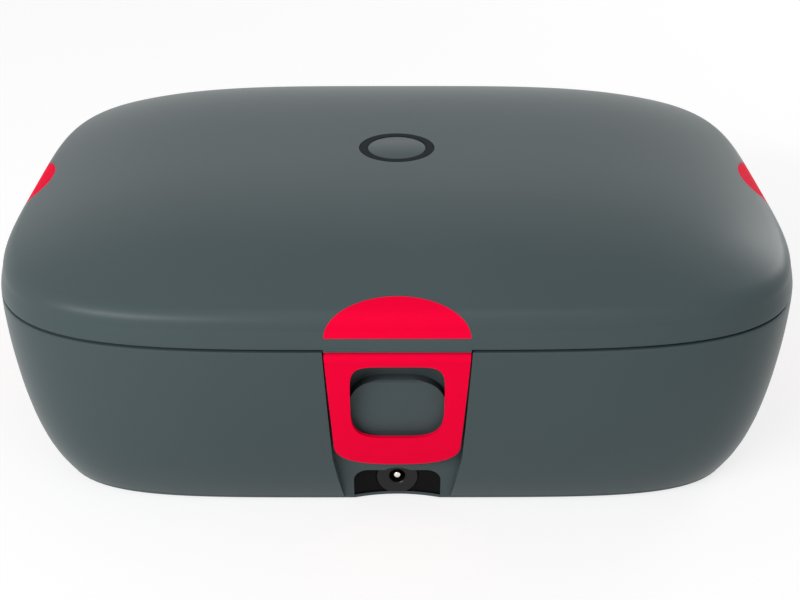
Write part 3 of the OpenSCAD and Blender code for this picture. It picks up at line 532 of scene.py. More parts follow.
combine(tub, *[boss(site) for site in range(3)], operation="UNION")
combine(tub, *[bar(FOOT_R + FIT, (x, y, FOOT_GAP - 1), (x, y, FOOT_SEAT)) for x, y in POSTS])
set_in_frame(tub, "base", "base_shell", slot="shell_grey")


# ---- rubber feet ----
# Four soft black discs of moulded rubber, each with a raised tread and a sunk middle. They
# are pressed into shallow seats, over the screws that hold the deck.
soft_rubber = material("black_moulded_rubber", clouds("202022", 5, 0.15), grain(0.35), 0.008, Roughness=0.85)
foot_profile = [(0, 0.5), (4.6, 0.5), (5.1, 0), (7.2, 0), (7.75, 0.2), (FOOT_R, 0.7), (FOOT_R, FOOT_SEAT),
                (3.1, FOOT_SEAT), (3.1, 0.9), (0, 0.9)]
feet = join([turned(foot_profile, Matrix.Translation((x, y, 0))) for x, y in POSTS])
dress(feet, soft_rubber)
set_in_frame(feet, "base", "rubber_feet", slot="foot_rubber")


# ---- inlet ----
# A panel-mounted barrel inlet: a turned nylon body behind a flat face, held by a fork clip
# in its groove, with one bright pin down the middle of the bore.
FACE_T = 1.2
BORE_R = 2.75
BORE_L = 9.5
PIN_R = 1.25
GROOVE_R = 4.15
GROOVE = WALL + 1.7
BARREL_L = 14.0
bore_end = FACE_T - BORE_L
face_edge = 0.4
mouth_edge = 0.3
out_of_front = Matrix.Translation((0, SEAT_Y, JACK_Z)) @ Matrix.Rotation(radians(90), 4, "X")
housing = turned([(0, bore_end), (BORE_R, bore_end), (BORE_R, FACE_T - mouth_edge),
                  (BORE_R + mouth_edge, FACE_T), (JACK_FACE_R - face_edge, FACE_T),
                  (JACK_FACE_R, FACE_T - face_edge), (JACK_FACE_R, 0), (JACK_BARREL_R, 0),
                  (JACK_BARREL_R, -WALL), (GROOVE_R, -WALL), (GROOVE_R, -GROOVE),
                  (JACK_BARREL_R, -GROOVE), (JACK_BARREL_R, -BARREL_L), (0, -BARREL_L)], out_of_front)
# The same nylon polished at its face, so it shows a little lighter than the pocket, whose near-black is
# painted shade.
polished_nylon = material("black_polished_nylon", clouds("111011", 6, 0.08), grain(0.4), 0.001,
                          Roughness=0.35, Specular_IOR_Level=0.3)
# A flat under its flange stands on the pocket's lip.
combine(housing, block((-20, SEAT_Y - 3, -1), (20, SEAT_Y + 0.01, LIP_TOP + FIT)))
dress(housing, polished_nylon)
set_in_frame(housing, "base", "dc_jack_housing", slot="black_plastic")
tip = FACE_T - 0.2
pin = turned([(0, tip), (PIN_R * 0.55, tip - 0.12), (PIN_R * 0.9, tip - 0.45), (PIN_R, tip - 0.9),
              (PIN_R, bore_end), (0, bore_end)], out_of_front, 48)
# Bright nickel plate on brass: a near mirror that shows the white room.
nickel = material("bright_nickel_plate", clouds("e8e4dc", 2, 0.03), Roughness=0.22, Metallic=1.0)
dress(pin, nickel)
set_in_frame(pin, "base", "dc_jack_pin", slot="contact_brass")


# ---- deck ----
# A moulded polypropylene plate that closes the double wall from above. A step round its
# mouth seats the well and the dish, and four posts stand on the tub's floor.
WELL_HW = 108.0
WELL_HD = 76.0
WELL_N = 4.4
MOUTH = 3.5
REBATE = 2.2
DECK_T = 4.0
DECK_GAP = WALL + 0.5
DECK_EDGE_R = 0.5
SKIRT = 12.0
POST_R = 4.0
POST_BORE_R = 1.45
CONTACT_HW = 9.0
CONTACT_HD = 3.5
contact_low, contact_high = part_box("contact_block")
CONTACT_Y = (contact_low[1] + contact_high[1]) * 500 + (HINGE_OUT + HINGE_R) / 2


def slab(half_w, half_d, n, low, high, edge=0.0):
    """A rounded slab between two heights, with its upper and lower edges rounded."""
    if not edge:
        return ring_shell([(half_w, half_d, low, n), (half_w, half_d, high, n)])
    bend = quarter(edge, 3)
    path = [(half_w - inward, half_d - inward, low + edge - up, n) for inward, up in bend][::-1]
    path += [(half_w - inward, half_d - inward, high - edge + up, n) for inward, up in bend]
    return ring_shell(path)


deck = slab(HW - DECK_GAP, HD - DECK_GAP, PLAN_N, BASE_TOP - DECK_T, BASE_TOP, DECK_EDGE_R)
combine(deck, slab(WELL_HW + MOUTH, WELL_HD + MOUTH, WELL_N, BASE_TOP - SKIRT, BASE_TOP - DECK_T + 0.1),
        operation="UNION")
chamfer = 0.4
mouth = [(1, BASE_TOP - SKIRT - 1), (1, BASE_TOP - REBATE), (MOUTH, BASE_TOP - REBATE),
         (MOUTH, BASE_TOP - chamfer), (MOUTH + chamfer, BASE_TOP), (MOUTH + chamfer, BASE_TOP + 1)]
combine(deck, ring_shell([(WELL_HW + out, WELL_HD + out, z, WELL_N) for out, z in mouth]))
for site in range(3):
    notch = LATCH_TOP + BAY_GAP[site] + WALL + CLEAR
    room = block((-notch, -5, BASE_TOP - 10), (notch, BAY_DEPTH + WALL + CLEAR, SPLIT_Z + 2))
    room.data.transform(site_matrix(site))
    combine(deck, room)
combine(deck, block((-BASE_LEAF_HALF - LEAF_PAD - CLEAR, HD - LEAF_PAD_T - CLEAR, SPLIT_Z - 20),
                    (BASE_LEAF_HALF + LEAF_PAD + CLEAR, HD, SPLIT_Z - 2)))
combine(deck, block((-CONTACT_HW - FIT, CONTACT_Y - CONTACT_HD - FIT, SPLIT_Z - 10),
                    (CONTACT_HW + FIT, CONTACT_Y + CONTACT_HD + FIT, SPLIT_Z + 2)))
posts = join([bar(POST_R, (x, y, FLOOR_TOP), (x, y, BASE_TOP - DECK_T + 0.5), 32) for x, y in POSTS])
combine(deck, posts, operation="UNION")
combine(deck, *[bar(POST_BORE_R, (x, y, FLOOR_TOP - 1), (x, y, FLOOR_TOP + 12), 24) for x, y in POSTS])
# Polypropylene straight from the mould: darker than the shells, with a soft waxy sheen.
dark_pp = material("moulded_polypropylene", clouds("2f3638", 50, 0.04), grain(0.6), 0.003,
                   Roughness=0.4, Specular_IOR_Level=0.4)
dress(deck, dark_pp)
set_in_frame(deck, "base", "base_liner", slot="liner_grey")


# ---- food dish ----
# A deep-drawn stainless tray. Its rolled flange hangs on the well's flange, and its wall
# leans in to a floor with a wide radius.
SHEET = 1.2
DISH_GAP = 1.0
DISH_HW = WELL_HW - SHEET - DISH_GAP
DISH_HD = WELL_HD - SHEET - DISH_GAP
DISH_TOP = BASE_TOP + 0.2
DISH_FLOOR = 24 + SHEET + 0.2
DISH_LEAN = 5.0               # how far its wall leans in at the floor
FLANGE = MOUTH + SHEET + DISH_GAP - 2 * FIT
FLOOR_R = 6.0
BEND_R = 1.4


def dish_ring(z, off):
    """The dish's ring at height z, moved in by off."""
    inward = DISH_LEAN * (DISH_TOP - z) / (DISH_TOP - DISH_FLOOR) + off
    return (DISH_HW - inward, DISH_HD - inward, z, WELL_N)


def dish_skin(off, floor_z):
    """Rings from the floor's edge, round the floor's radius, to the top of the wall."""
    r = FLOOR_R - off
    low = dish_ring(floor_z + r, off)
    bend = [(low[0] - inward, low[1] - inward, floor_z + r - up, WELL_N) for inward, up in quarter(r, 8)]
    return bend[::-1] + [dish_ring(z, off) for z in spread(floor_z + r, DISH_TOP - SHEET - BEND_R, 6)[1:]]


flange_low = DISH_TOP - SHEET
half_t = SHEET / 2
wall_top = dish_ring(flange_low - BEND_R, 0)
dish_path = dish_skin(0, DISH_FLOOR)
dish_path += [(wall_top[0] + inward, wall_top[1] + inward, flange_low - BEND_R + up, WELL_N)
              for inward, up in quarter(BEND_R, 4)][1:]
dish_path += [(DISH_HW + FLANGE - half_t + half_t * sin(a), DISH_HD + FLANGE - half_t + half_t * sin(a),
               flange_low + half_t - half_t * cos(a), WELL_N) for a in spread(0, pi, 6)]
over = BEND_R + SHEET
dish_path += [(wall_top[0] - SHEET + inward, wall_top[1] - SHEET + inward, flange_low - BEND_R + up, WELL_N)
              for inward, up in quarter(over, 6)][::-1]
dish_path += dish_skin(SHEET, DISH_FLOOR + SHEET)[::-1][1:]
dish = ring_shell(dish_path)
# Satin stainless steel, polished along its length: the sheen is drawn out into fine lines.
# The real lines are 0.05 mm apart and are drawn at 0.4 mm.
satin_steel = material("satin_stainless_steel", clouds("c9c8c6", 30, 0.03), grain(0.4, (0.02, 1, 1)), 0.002,
                       Roughness=0.28, Metallic=1.0, Anisotropic=0.4)
dress(dish, satin_steel)
set_in_frame(dish, "base", "food_dish", slot="dish_steel")


# ---- lid shell ----
# The crowned cover, moulded in the same ABS as the tub. It is windowed for three red pads
# and the light ring, and six ears reach down inside it to carry the latch pins.
BAND_H = 6.7
BAND_IN = 1.3
SHOULDER_R = 7.4
CROWN_H = 14.0
CROWN_N = 3.9
SHOULDER_EASE = 0.25          # how much rounder the plan gets over the shoulder
CROWN_EASE = 0.5              # and from there to the middle of the crown
CROWN_SLOPE = degrees(atan(CROWN_H * CROWN_N / (HD - BAND_IN - SHOULDER_R * 0.5)))
SHOULDER_TURN = 90 - CROWN_SLOPE
SHOULDER_IN = SHOULDER_R * (1 - cos(radians(SHOULDER_TURN)))
CROWN_HW = HW - BAND_IN - SHOULDER_IN
CROWN_HD = HD - BAND_IN - SHOULDER_IN
CROWN_Z = SPLIT_Z + BAND_H + SHOULDER_R * sin(radians(SHOULDER_TURN))
LID_TOP = CROWN_Z + CROWN_H


def band_ring(z, off):
    """The upright band above the rim."""
    up = max(0.0, (z - SPLIT_Z) / BAND_H)
    inward = BAND_IN * up**1.5 + off
    return (HW - inward, HD - inward, z, PLAN_N)


def shoulder_ring(turn, off):
    """The round shoulder, by how far it has turned towards the crown."""
    r = SHOULDER_R - off
    inward = BAND_IN + SHOULDER_R - r * cos(radians(turn))
    return (HW - inward, HD - inward, SPLIT_Z + BAND_H + r * sin(radians(turn)),
            PLAN_N - SHOULDER_EASE * turn / SHOULDER_TURN)


def crown_ring(share, off):
    """The crown, from its edge at 1 to its middle at 0."""
    slope = atan(CROWN_H * CROWN_N * share ** (CROWN_N - 1) / CROWN_HD)
    inward = off * sin(slope)
    return (CROWN_HW * share - inward, CROWN_HD * share - inward,
            CROWN_Z + CROWN_H * (1 - share**CROWN_N) - off * cos(slope),
            PLAN_N - SHOULDER_EASE - CROWN_EASE * (1 - share))


def lid_path(off, bottom, rim_r=0.0):
    """All the lid's rings, moved in by off."""
    rim = [band_ring(bottom, off)]
    if rim_r:
        rim = [band_ring(bottom + rim_r - up, off + inward) for inward, up in quarter(rim_r, 3)][::-1]
    band = [band_ring(z, off) for z in spread(bottom + rim_r, SPLIT_Z + BAND_H, 10)[1:-1]]
    shoulder = [shoulder_ring(turn, off) for turn in spread(0, SHOULDER_TURN, 14)]
    return rim + band + shoulder + [crown_ring(share, off) for share in spread(1, 0, 46)[1:-1]]


PAD_HALF = 23.4
PAD_H = 13.5
PAD_TILT = 28.0
PAD_FOOT = SPLIT_Z + 4.7


def pad_prism(site, grow):
    """A pad's outline along its own axis: half an ellipse on a straight foot."""
    half = PAD_HALF + grow
    arc = [(half * cos(a), (PAD_H + grow) * sin(a)) for a in spread(radians(3), radians(177), 58)]
    piece = along([(half, -grow), *arc, (-half, -grow)], -18, 12)
    tilt = Matrix.Translation((0, 0, PAD_FOOT)) @ Matrix.Rotation(radians(-PAD_TILT), 4, "X")
    piece.data.transform(site_matrix(site) @ tilt)
    return piece


EAR_X = (-10.0, 10.0)
EAR_W = 5.4
EAR_R = 2.1
EAR_BACK = BAY_DEPTH - 0.6
EAR_NECK = 7.2                # front of the part that rises behind the knuckle
EAR_TOP = 1.5                 # and of the part that lies on the lid's wall
EAR_STEP = 0.9                # from the pin's axis up to the neck
EAR_LOW = LID_BOTTOM + 0.15
EAR_IN = WALL + BAND_IN + CLEAR
PAD_UNDER = PAD_FOOT - (WALL + BAND_IN) * tan(radians(PAD_TILT)) - CLEAR
LATCH_PIN_R = 1.0


def latch_axis(x0, x1, radius):
    """A bar along a latch's pin, drawn at the front."""
    return bar(radius, (x0, KNUCKLE_R, KNUCKLE_Z), (x1, KNUCKLE_R, KNUCKLE_Z), 32)


def ear(x):
    """An ear that carries a latch pin: out from behind the knuckle, then up into the lid."""
    eye = [(KNUCKLE_R + EAR_R * cos(a), KNUCKLE_Z + EAR_R * sin(a))
           for a in spread(asin(EAR_STEP / EAR_R), 1.5 * pi, 30)]
    arm = across([*eye, (EAR_BACK, KNUCKLE_Z - EAR_R), (EAR_BACK, PAD_FOOT - CLEAR),
                  (EAR_IN, PAD_FOOT - CLEAR), (EAR_IN, PAD_UNDER), (EAR_TOP, PAD_UNDER), (EAR_TOP, EAR_LOW),
                  (EAR_NECK, EAR_LOW), (EAR_NECK, KNUCKLE_Z + EAR_STEP)], EAR_W, x)
    combine(arm, latch_axis(x - EAR_W, x + EAR_W, LATCH_PIN_R))
    return arm


RING_R = 14.1                 # the light ring, round the power button
RING_W = 3.15
BUTTON_Y = -2.4
LID_SEAT_Y = HD - 1.6
LID_LEAF_TOP = SPLIT_Z + BAND_H + 1

skin = ring_shell(lid_path(0, LID_BOTTOM, RIM_R))
combine(skin, ring_shell(lid_path(WALL, LID_BOTTOM - 1)))
lid = copy_of(skin)
combine(lid, *[pad_prism(site, 0.0) for site in range(3)])
combine(lid, bar(RING_R, (0, BUTTON_Y, LID_TOP - 20), (0, BUTTON_Y, LID_TOP + 20), 128))
combine(lid, block((-LID_LEAF_W / 2 - FIT, LID_SEAT_Y, LID_BOTTOM - 1),
                   (LID_LEAF_W / 2 + FIT, HD + 5, LID_LEAF_TOP + FIT)))
# The rim comes down closer over each latch. Its added part stays inside the wall's faces,
# so that no two faces coincide.
RIM_INSET = 0.1
RIM_DROP_GAP = 0.2
pair = join([ear(x) for x in EAR_X])
for site in range(3):
    over_latch = block((-LATCH_TOP, RIM_INSET, BASE_TOP + RIM_DROP_GAP),
                       (LATCH_TOP, WALL - 2 * RIM_INSET, LID_BOTTOM + 2 * RIM_R))
    over_latch.data.transform(site_matrix(site))
    combine(lid, over_latch, copy_of(pair, site_matrix(site)), operation="UNION")
bpy.data.objects.remove(pair)
dress(lid, slate_abs)
set_in_frame(lid, "lid", "lid_shell", slot="shell_grey")


# ---- pads ----
# Red inserts that fill the lid's windows, flush with the shell outside.
# Acetal in signal red: an even, saturated colour with hardly any gloss.
signal_red = material("moulded_acetal_red", clouds("ff003a", 40, 0.015), grain(0.6), 0.002,
                      Roughness=0.6, Specular_IOR_Level=0.04)
PAD_SHRINK = -0.03            # a hairline between a pad and the lid
for site, (name, turn, reach) in enumerate(SITES):
    pad = copy_of(skin)
    combine(pad, pad_prism(site, PAD_SHRINK), operation="INTERSECT")
    dress(pad, signal_red)
    set_in_frame(pad, "lid", name + "_pad", slot="latch_red")
bpy.data.objects.remove(skin)


# ---- lid liner and seal ----
# The liner is a flat polypropylene plate inside the rim, with notches for the ears and a
# sunk panel. A silicone cord under it presses on the dish's flange.
LINER_LOW = LID_BOTTOM + 1.4
LINER_T = 2.0
LINER_TOP = LINER_LOW + LINER_T
LINER_GAP = WALL + 0.8
liner = slab(HW - LINER_GAP, HD - LINER_GAP, PLAN_N, LINER_LOW, LINER_TOP, 0.4)
PANEL_IN = 9.0
PANEL_DEPTH = 0.8
panel_edge = ((PANEL_IN, -1), (PANEL_IN, 0), (PANEL_IN + PANEL_DEPTH, PANEL_DEPTH))
combine(liner, ring_shell([(WELL_HW - inward, WELL_HD - inward, LINER_LOW + up, WELL_N)
                           for inward, up in panel_edge]))
half = EAR_W / 2 + CLEAR
for site in range(3):
    rooms = join([block((x - half, -5, LINER_LOW - 2), (x + half, EAR_BACK + CLEAR, LINER_TOP + 2))
                  for x in EAR_X])
    rooms.data.transform(site_matrix(site))
    combine(liner, rooms)
combine(liner, block((-LID_LEAF_W / 2 - LEAF_PAD - CLEAR, HD - 7 - CLEAR, LINER_LOW - 2),
                     (LID_LEAF_W / 2 + LEAF_PAD + CLEAR, HD + 5, LINER_TOP + 2)))
combine(liner, block((-CONTACT_HW - FIT, CONTACT_Y - CONTACT_HD - FIT, LINER_LOW - 2),
                     (CONTACT_HW + FIT, CONTACT_Y + CONTACT_HD + FIT, LINER_TOP + 2)))
dress(liner, dark_pp)
set_in_frame(liner, "lid", "lid_liner", slot="liner_grey")

SEAL_W = 4.5
SEAL_LOW = DISH_TOP + 0.2
SEAL_N = 3
seal_half = (LINER_LOW - SEAL_LOW) / 2
seal_path = []
for a in spread(0, 2 * pi, 24):
    out = (abs(cos(a)) ** SEAL_N + abs(sin(a)) ** SEAL_N) ** (-1 / SEAL_N)
    reach = MOUTH - 0.5 - SEAL_W / 2 + SEAL_W / 2 * out * cos(a)
    height = SEAL_LOW + seal_half + seal_half * out * sin(a)
    seal_path.append((WELL_HW + reach, WELL_HD + reach, height, WELL_N))
seal = ring_shell(seal_path, closed=True)
# Translucent silicone rubber: milky, with light that soaks in a little way.
silicone = material("translucent_silicone", clouds("bcc0c0", 10, 0.04), grain(0.5), 0.003, Roughness=0.5,
                    Subsurface_Weight=0.3, Subsurface_Scale=0.002)
dress(seal, silicone)
set_in_frame(seal, "lid", "lid_seal", slot="seal_silicone")


# ---- latches ----
# Each latch is one acetal moulding that follows the wall and hangs from a round knuckle.
# Two rooms let the lid's ears reach its pin, and the window snaps over the boss.
CURVE_H = 10.0                # height of the rounded free end
CURVE_N = 2.7
sheet_z = spread(LATCH_FOOT, KNUCKLE_Z, 30)
outer = [(lean(z), z) for z in sheet_z[:-1]] + [(0, KNUCKLE_Z)]
inner = [(lean(z) + LATCH_T, z) for z in sheet_z[:-1]] + [(KNUCKLE_R, KNUCKLE_Z)]
latch = across(outer + inner[::-1], 70)
combine(latch, bar(KNUCKLE_R, (-30, KNUCKLE_R, KNUCKLE_Z), (30, KNUCKLE_R, KNUCKLE_Z)), operation="UNION")
free_end = squircle(LATCH_LOW, CURVE_H, CURVE_N, 48, LATCH_FOOT + CURVE_H)
combine(latch, along([(LATCH_TOP, SPLIT_Z), (-LATCH_TOP, SPLIT_Z), *free_end[24:], free_end[0]], -3, 20),
        operation="INTERSECT")
window_half_h = (WINDOW_TOP - WINDOW_LOW) / 2
low_half, top_half = (squircle(WINDOW_HALF, window_half_h, n, 96, WINDOW_LOW + window_half_h)
                      for n in WINDOW_N)
combine(latch, along(top_half[:49] + low_half[49:], -5, 25))
# The room for an ear leaves a thin round skin at the front of the knuckle.
ROOM_R = EAR_R + 0.25
ROOM_FRONT = 0.6              # from the pin's axis forward, where the room opens below
ROOM_BACK = 15.0
ROOM_LOW = KNUCKLE_Z - 5.5
ROOM_TOP = KNUCKLE_Z + 5.2
room_w = EAR_W + 2 * CLEAR
room = [(KNUCKLE_R + ROOM_R * cos(a), KNUCKLE_Z + ROOM_R * sin(a))
        for a in spread(radians(120), pi + acos(ROOM_FRONT / ROOM_R), 20)]
room += [(KNUCKLE_R - ROOM_FRONT, ROOM_LOW), (ROOM_BACK, ROOM_LOW), (ROOM_BACK, ROOM_TOP), (0.2, ROOM_TOP)]
for x in EAR_X:
    combine(latch, across(room, room_w, x))
combine(latch, latch_axis(-30, 30, LATCH_PIN_R + 0.05))
for site, (name, turn, reach) in enumerate(SITES):
    piece = copy_of(latch, site_matrix(site))
    dress(piece, signal_red)
    set_in_frame(piece, name + "_latch", name + "_latch", slot="latch_red")
bpy.data.objects.remove(latch)


# ---- light ring and power button ----
# The ring is smoked polycarbonate that glows when the heater runs, and looks near black
# when it is off. The button's cap sits inside it, in the lid's own ABS.
RING_SEAT = LID_TOP - WALL
RING_FLANGE_R = RING_R + 2.6
CAP_R = RING_R - RING_W - FIT
CAP_LOW = RING_SEAT - 1.2
CAP_TOP = LID_TOP - 0.05
over_button = Matrix.Translation((0, BUTTON_Y, 0))
ring_in = RING_R - RING_W
RING_LIP = RING_SEAT + 0.6
RING_LOW = RING_SEAT - 1.6
ring_side = RING_R - 0.05
ring = turned([(ring_in, RING_LIP), (ring_in, LID_TOP - 0.2), (ring_in + 0.2, LID_TOP),
               (RING_R - 0.35, LID_TOP), (ring_side, LID_TOP - 0.25), (ring_side, RING_SEAT),
               (RING_FLANGE_R, RING_SEAT), (RING_FLANGE_R, RING_LOW), (CAP_R + 1.9, RING_LOW),
               (CAP_R + 1.9, RING_LIP)], over_button, 128)
# Smoked polycarbonate with a satin face, which hides the lamps behind it.
smoked = material("smoked_polycarbonate", clouds("10181b", 4, 0.05), Roughness=0.5, Specular_IOR_Level=0.04)
dress(ring, smoked)
set_in_frame(ring, "lid", "light_ring", slot="ring_dark")
stem_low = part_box("power_button")[0][2] * 1000
STEM_R = 2.6
CAP_FLANGE_R = CAP_R + 1.4
CAP_FLANGE_TOP = CAP_LOW + 1.5
cap = turned([(0, stem_low), (STEM_R, stem_low), (STEM_R, CAP_LOW), (CAP_FLANGE_R, CAP_LOW),
              (CAP_FLANGE_R, CAP_FLANGE_TOP), (CAP_R, CAP_FLANGE_TOP), (CAP_R, CAP_TOP - 0.4),
              (CAP_R - 0.12, CAP_TOP - 0.12), (CAP_R - 0.4, CAP_TOP), (0, CAP_TOP)], over_button, 128)
dress(cap, slate_abs)
set_in_frame(cap, "power_button", "power_button", slot="shell_grey")


# ---- rear hinge ----
# Two screwed leaves on one steel pin, in the deck's moulded polypropylene. The screws are
# countersunk and have a cross recess.


def dressed(node, edge):
    """A merged copy of a node's mesh, in millimetres, with its edges rounded."""
    piece = copy_of(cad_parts[node])
    back = Matrix.Translation((0, (HINGE_OUT + HINGE_R) / 2, 0)) @ Matrix.Scale(1000, 4)
    piece.data.transform(back)
    piece.hide_render = False
    edit(piece)
    bpy.ops.mesh.remove_doubles(threshold=0.01)
    bpy.ops.mesh.dissolve_limited(angle_limit=radians(1))
    close_edit()
    round_edges(piece, edge)
    return piece


for node, body in (("base_hinge_leaf", "base"), ("lid_hinge_leaf", "lid")):
    leaf = dressed(node, 0.25)
    dress(leaf, dark_pp)
    set_in_frame(leaf, body, node, slot="liner_grey")

# Zinc-plated steel: bright, cool and slightly uneven.
zinc_steel = material("zinc_plated_steel", clouds("b9bcc0", 3, 0.06), grain(0.3), 0.002, Roughness=0.3,
                      Metallic=1.0)


def screws(node, body, head_r, head_t, shank_r, shank_l, places):
    """Cross-recessed screws. A place takes a screw drawn with its head up, its underside at 0."""
    one = turned([(0, -shank_l), (shank_r * 0.6, -shank_l), (shank_r, -shank_l + 0.6), (shank_r, 0),
                  (head_r, 0), (head_r, head_t * 0.55), (head_r - head_t * 0.45, head_t), (0, head_t)],
                 sides=32)
    wide, deep = 0.35, head_t * 0.6
    combine(one, block((-head_r * 0.6, -wide, head_t - deep), (head_r * 0.6, wide, head_t + 1)),
            block((-wide, -head_r * 0.6, head_t - deep), (wide, head_r * 0.6, head_t + 1)))
    group = join([copy_of(one, place) for place in places])
    bpy.data.objects.remove(one)
    dress(group, zinc_steel)
    set_in_frame(group, body, node, slot="plain_steel")


BASE_SCREW_Z = AXIS_Z - 6.2
LID_SCREW_Z = (LID_LEAF_TOP + LID_BOTTOM + CLEAR) / 2
SCREW_HEAD_R = 2.6
rearwards = Matrix.Rotation(radians(-90), 4, "X")
downwards = Matrix.Rotation(pi, 4, "X")
screws("base_hinge_screws", "base", SCREW_HEAD_R, 1.0, 1.4, 5.0,
       [Matrix.Translation((x, BASE_SEAT_Y + LEAF_T - 1, BASE_SCREW_Z)) @ rearwards
        for x in (-36, -12, 12, 36)])
screws("lid_hinge_screws", "lid", SCREW_HEAD_R, 1.0, 1.4, 6.4,
       [Matrix.Translation((x, LID_SEAT_Y + 2.4, LID_SCREW_Z)) @ rearwards for x in (-18, 0, 18)])
liner_half = half_span("lid_liner_screws")
screws("lid_liner_screws", "lid", SCREW_HEAD_R, 1.1, 1.2, 8.0,
       [Matrix.Translation((x, y, LINER_LOW)) @ downwards
        for x, y in corners(liner_half[0] - SCREW_HEAD_R, liner_half[1] - SCREW_HEAD_R)])


# ---- lid contacts ----
# Three gold-flashed pins in a nylon block meet a block in the lid, so that the button's
# board is only live when the lid is shut.
for node, body in (("contact_block", "base"), ("lid_contact_block", "lid")):
    piece = dressed(node, 0.3)
    dress(piece, black_nylon_and_painted_shade)
    set_in_frame(piece, body, node, slot="black_plastic")
# A thin gold flash over brass: warm and fairly glossy.
gold_flash = material("gold_flashed_brass", clouds("d9b56a", 2, 0.04), Roughness=0.25, Metallic=1.0)
contact = turned([(0, BASE_TOP - 7), (1, BASE_TOP - 7), (1, BASE_TOP), (0.8, BASE_TOP + 0.3),
                  (0, BASE_TOP + 0.4)], sides=32)
contacts = join([copy_of(contact, Matrix.Translation((x, CONTACT_Y, 0))) for x in (-6, 0, 6)])
bpy.data.objects.remove(contact)
dress(contacts, gold_flash)
set_in_frame(contacts, "base", "contact_pins", slot="contact_brass")


# ---- pieces inside the double wall and the lid ----
# The heating film and its clamp under the well, the boards, leads and insulation. They are
# seen only with the shells off, so the solids keep their plain shapes.
def tracks(code, light_code, pitch_mm):
    """Straight lines of a second colour, as printed tracks are."""
    def colour(tree, place):
        wave = add_node(tree, "ShaderNodeTexWave",
                        {"Vector": place, "Scale": per_mm(pitch_mm) / 20, "Distortion": 0.0},
                        bands_direction="Y")
        ramp = add_node(tree, "ShaderNodeValToRGB", {"Fac": wave.outputs["Fac"]})
        ramp.color_ramp.elements[0].position = 0.55
        ramp.color_ramp.elements[0].color = linear(code)
        ramp.color_ramp.elements[1].position = 0.6
        ramp.color_ramp.elements[1].color = linear(light_code)
        return ramp.outputs["Color"]
    return colour


# Satin anodised aluminium, deep drawn.
satin_aluminium = material("satin_aluminium", clouds("c4c6c9", 25, 0.03), grain(0.4), 0.002,
                           Roughness=0.38, Metallic=1.0)
# Solder mask over copper tracks: green, with lighter lines.
solder_mask = material("green_solder_mask", tracks("0f4a26", "1d6337", 2.0), Roughness=0.35)
# Polyimide film over an etched heating track.
polyimide = material("amber_polyimide_film", tracks("b0701c", "7c4a16", 6.0), Roughness=0.3)
# Closed-cell foam: a pale, dry surface with open pores on its cut faces.
foam = material("closed_cell_foam", clouds("dcd8c8", 4, 0.06), grain(1.2), 0.15, Roughness=0.95)
# Silicone-rubber wire sleeving.
sleeving = material("silicone_sleeving", clouds("b9b8b4", 6, 0.05), grain(0.5), 0.003, Roughness=0.55)
inner_finishes = (
    (satin_aluminium, ["heated_well"]),
    (solder_mask, ["control_board", "button_board"]),
    (polyimide, ["heater_film"]),
    (foam, ["insulation_jacket", "lid_insulation"]),
    (sleeving, ["heater_leads", "jack_leads", "contact_ribbon", "lid_ribbon", "thermistor"]),
    (black_nylon_and_painted_shade, ["thermal_cutout", "board_components", "button_switch"]),
    (zinc_steel, ["liner_screws", "heater_retainer", "retainer_nuts", "board_screws", "jack_retainer",
                  "hinge_pin", "front_latch_pin", "left_latch_pin", "right_latch_pin",
                  "button_board_screws", "button_spring"]),
)
for finish, nodes in inner_finishes:
    for node in nodes:
        dress(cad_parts[node], finish)


# ---- studio ----
# A white paper floor under an even white room, with three soft lamps for shape.
scene = bpy.context.scene
scene.view_settings.view_transform = "Standard"
ELEVATION = radians(28.65)
AZIMUTH = radians(0.1)
DISTANCE = 0.540
LOOK_AT = (0, -0.0045, 0.0303)
PICTURE_W = 800
FOCAL_PX = 1353
SHIFT_PX = 3.24
SENSOR_W = 36
camera = bpy.data.objects.new("camera", bpy.data.cameras.new("camera"))
scene.collection.objects.link(camera)
scene.camera = camera
camera.data.sensor_width = SENSOR_W
camera.data.lens = FOCAL_PX * SENSOR_W / PICTURE_W
camera.data.shift_x = SHIFT_PX / PICTURE_W
camera.data.clip_start = 0.01
camera.rotation_euler = (pi / 2 - ELEVATION, 0, -AZIMUTH)
camera.location = Vector(LOOK_AT) + camera.rotation_euler.to_matrix() @ Vector((0, 0, DISTANCE))


def seen(tree):
    """1 for what the camera, a reflection or a clear piece looks at, 0 for light on the object."""
    path = add_node(tree, "ShaderNodeLightPath")
    either = add_node(tree, "ShaderNodeMath",
                      {0: path.outputs["Is Camera Ray"], 1: path.outputs["Is Glossy Ray"]},
                      operation="MAXIMUM")
    both = add_node(tree, "ShaderNodeMath", {0: either.outputs[0], 1: path.outputs["Is Transmission Ray"]},
                    operation="MAXIMUM")
    return both.outputs[0]


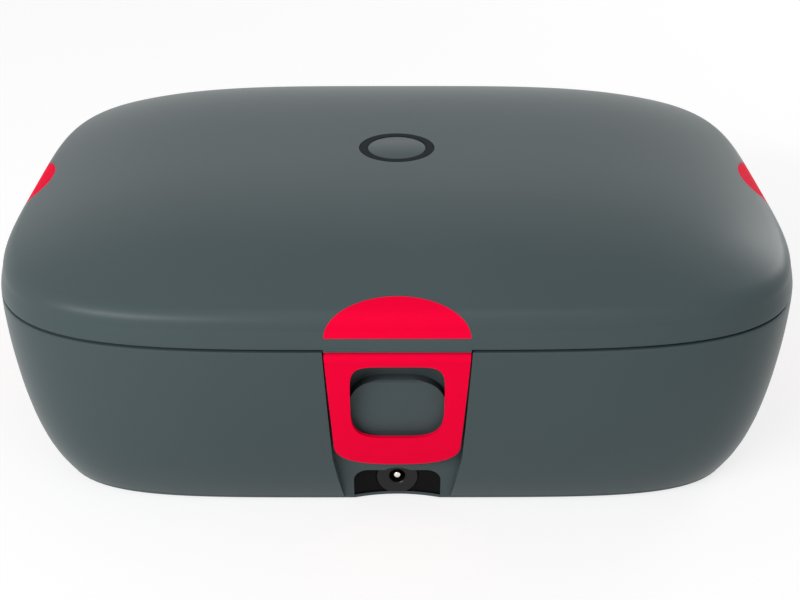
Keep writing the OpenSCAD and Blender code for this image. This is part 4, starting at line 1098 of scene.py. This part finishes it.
ROOM_LIGHT = 0.38             # how strongly the white room lights the object
world = bpy.data.worlds.new("white_room")
scene.world = world
world.use_nodes = True
tree = world.node_tree
level = add_node(tree, "ShaderNodeMapRange", {"Value": seen(tree), "To Min": ROOM_LIGHT, "To Max": 1.0})
sky = tree.nodes["Background"]
sky.inputs["Color"].default_value = (1, 1, 1, 1)
tree.links.new(level.outputs["Result"], sky.inputs["Strength"])


def lamp(name, place, width, height, watts):
    """A soft lamp that faces the object."""
    light = bpy.data.lights.new(name, "AREA")
    light.shape = "RECTANGLE"
    light.size = width
    light.size_y = height
    light.energy = watts
    holder = bpy.data.objects.new(name, light)
    holder.location = place
    holder.rotation_euler = (Vector(LOOK_AT) - Vector(place)).to_track_quat("-Z", "Y").to_euler()
    scene.collection.objects.link(holder)


# The strip draws the streak along the lid's lower edge.
lamp("strip_lamp", (-0.65, -0.77, 0.58), 0.7, 0.10, 6.5)
lamp("top_lamp", (0.1, -0.6, 1.0), 0.5, 0.5, 1.2)
lamp("rear_lamp", (0.9, 0.8, 0.45), 0.5, 0.5, 3.5)

bpy.ops.object.select_all(action="DESELECT")
bpy.ops.mesh.primitive_plane_add(size=6, location=(0, 0, 0))
floor = bpy.context.object
floor.name = "paper_floor"
# Matt white paper. To the camera it gives light of its own, so that it shows nearly white
# and still takes a shadow.
PAPER_SEEN = 0.35
PAPER_GLOW = 0.72
paper = bpy.data.materials.new("white_paper")
paper.use_nodes = True
tree = paper.node_tree
shader = tree.nodes["Principled BSDF"]
shader.inputs["Roughness"].default_value = 1.0
shader.inputs["Emission Color"].default_value = (1, 1, 1, 1)
view = seen(tree)
own = add_node(tree, "ShaderNodeMapRange", {"Value": view, "To Min": 0.8, "To Max": PAPER_SEEN})
glow = add_node(tree, "ShaderNodeMapRange", {"Value": view, "To Min": 0.0, "To Max": PAPER_GLOW})
tree.links.new(own.outputs["Result"], shader.inputs["Base Color"])
tree.links.new(glow.outputs["Result"], shader.inputs["Emission Strength"])
dress(floor, paper)
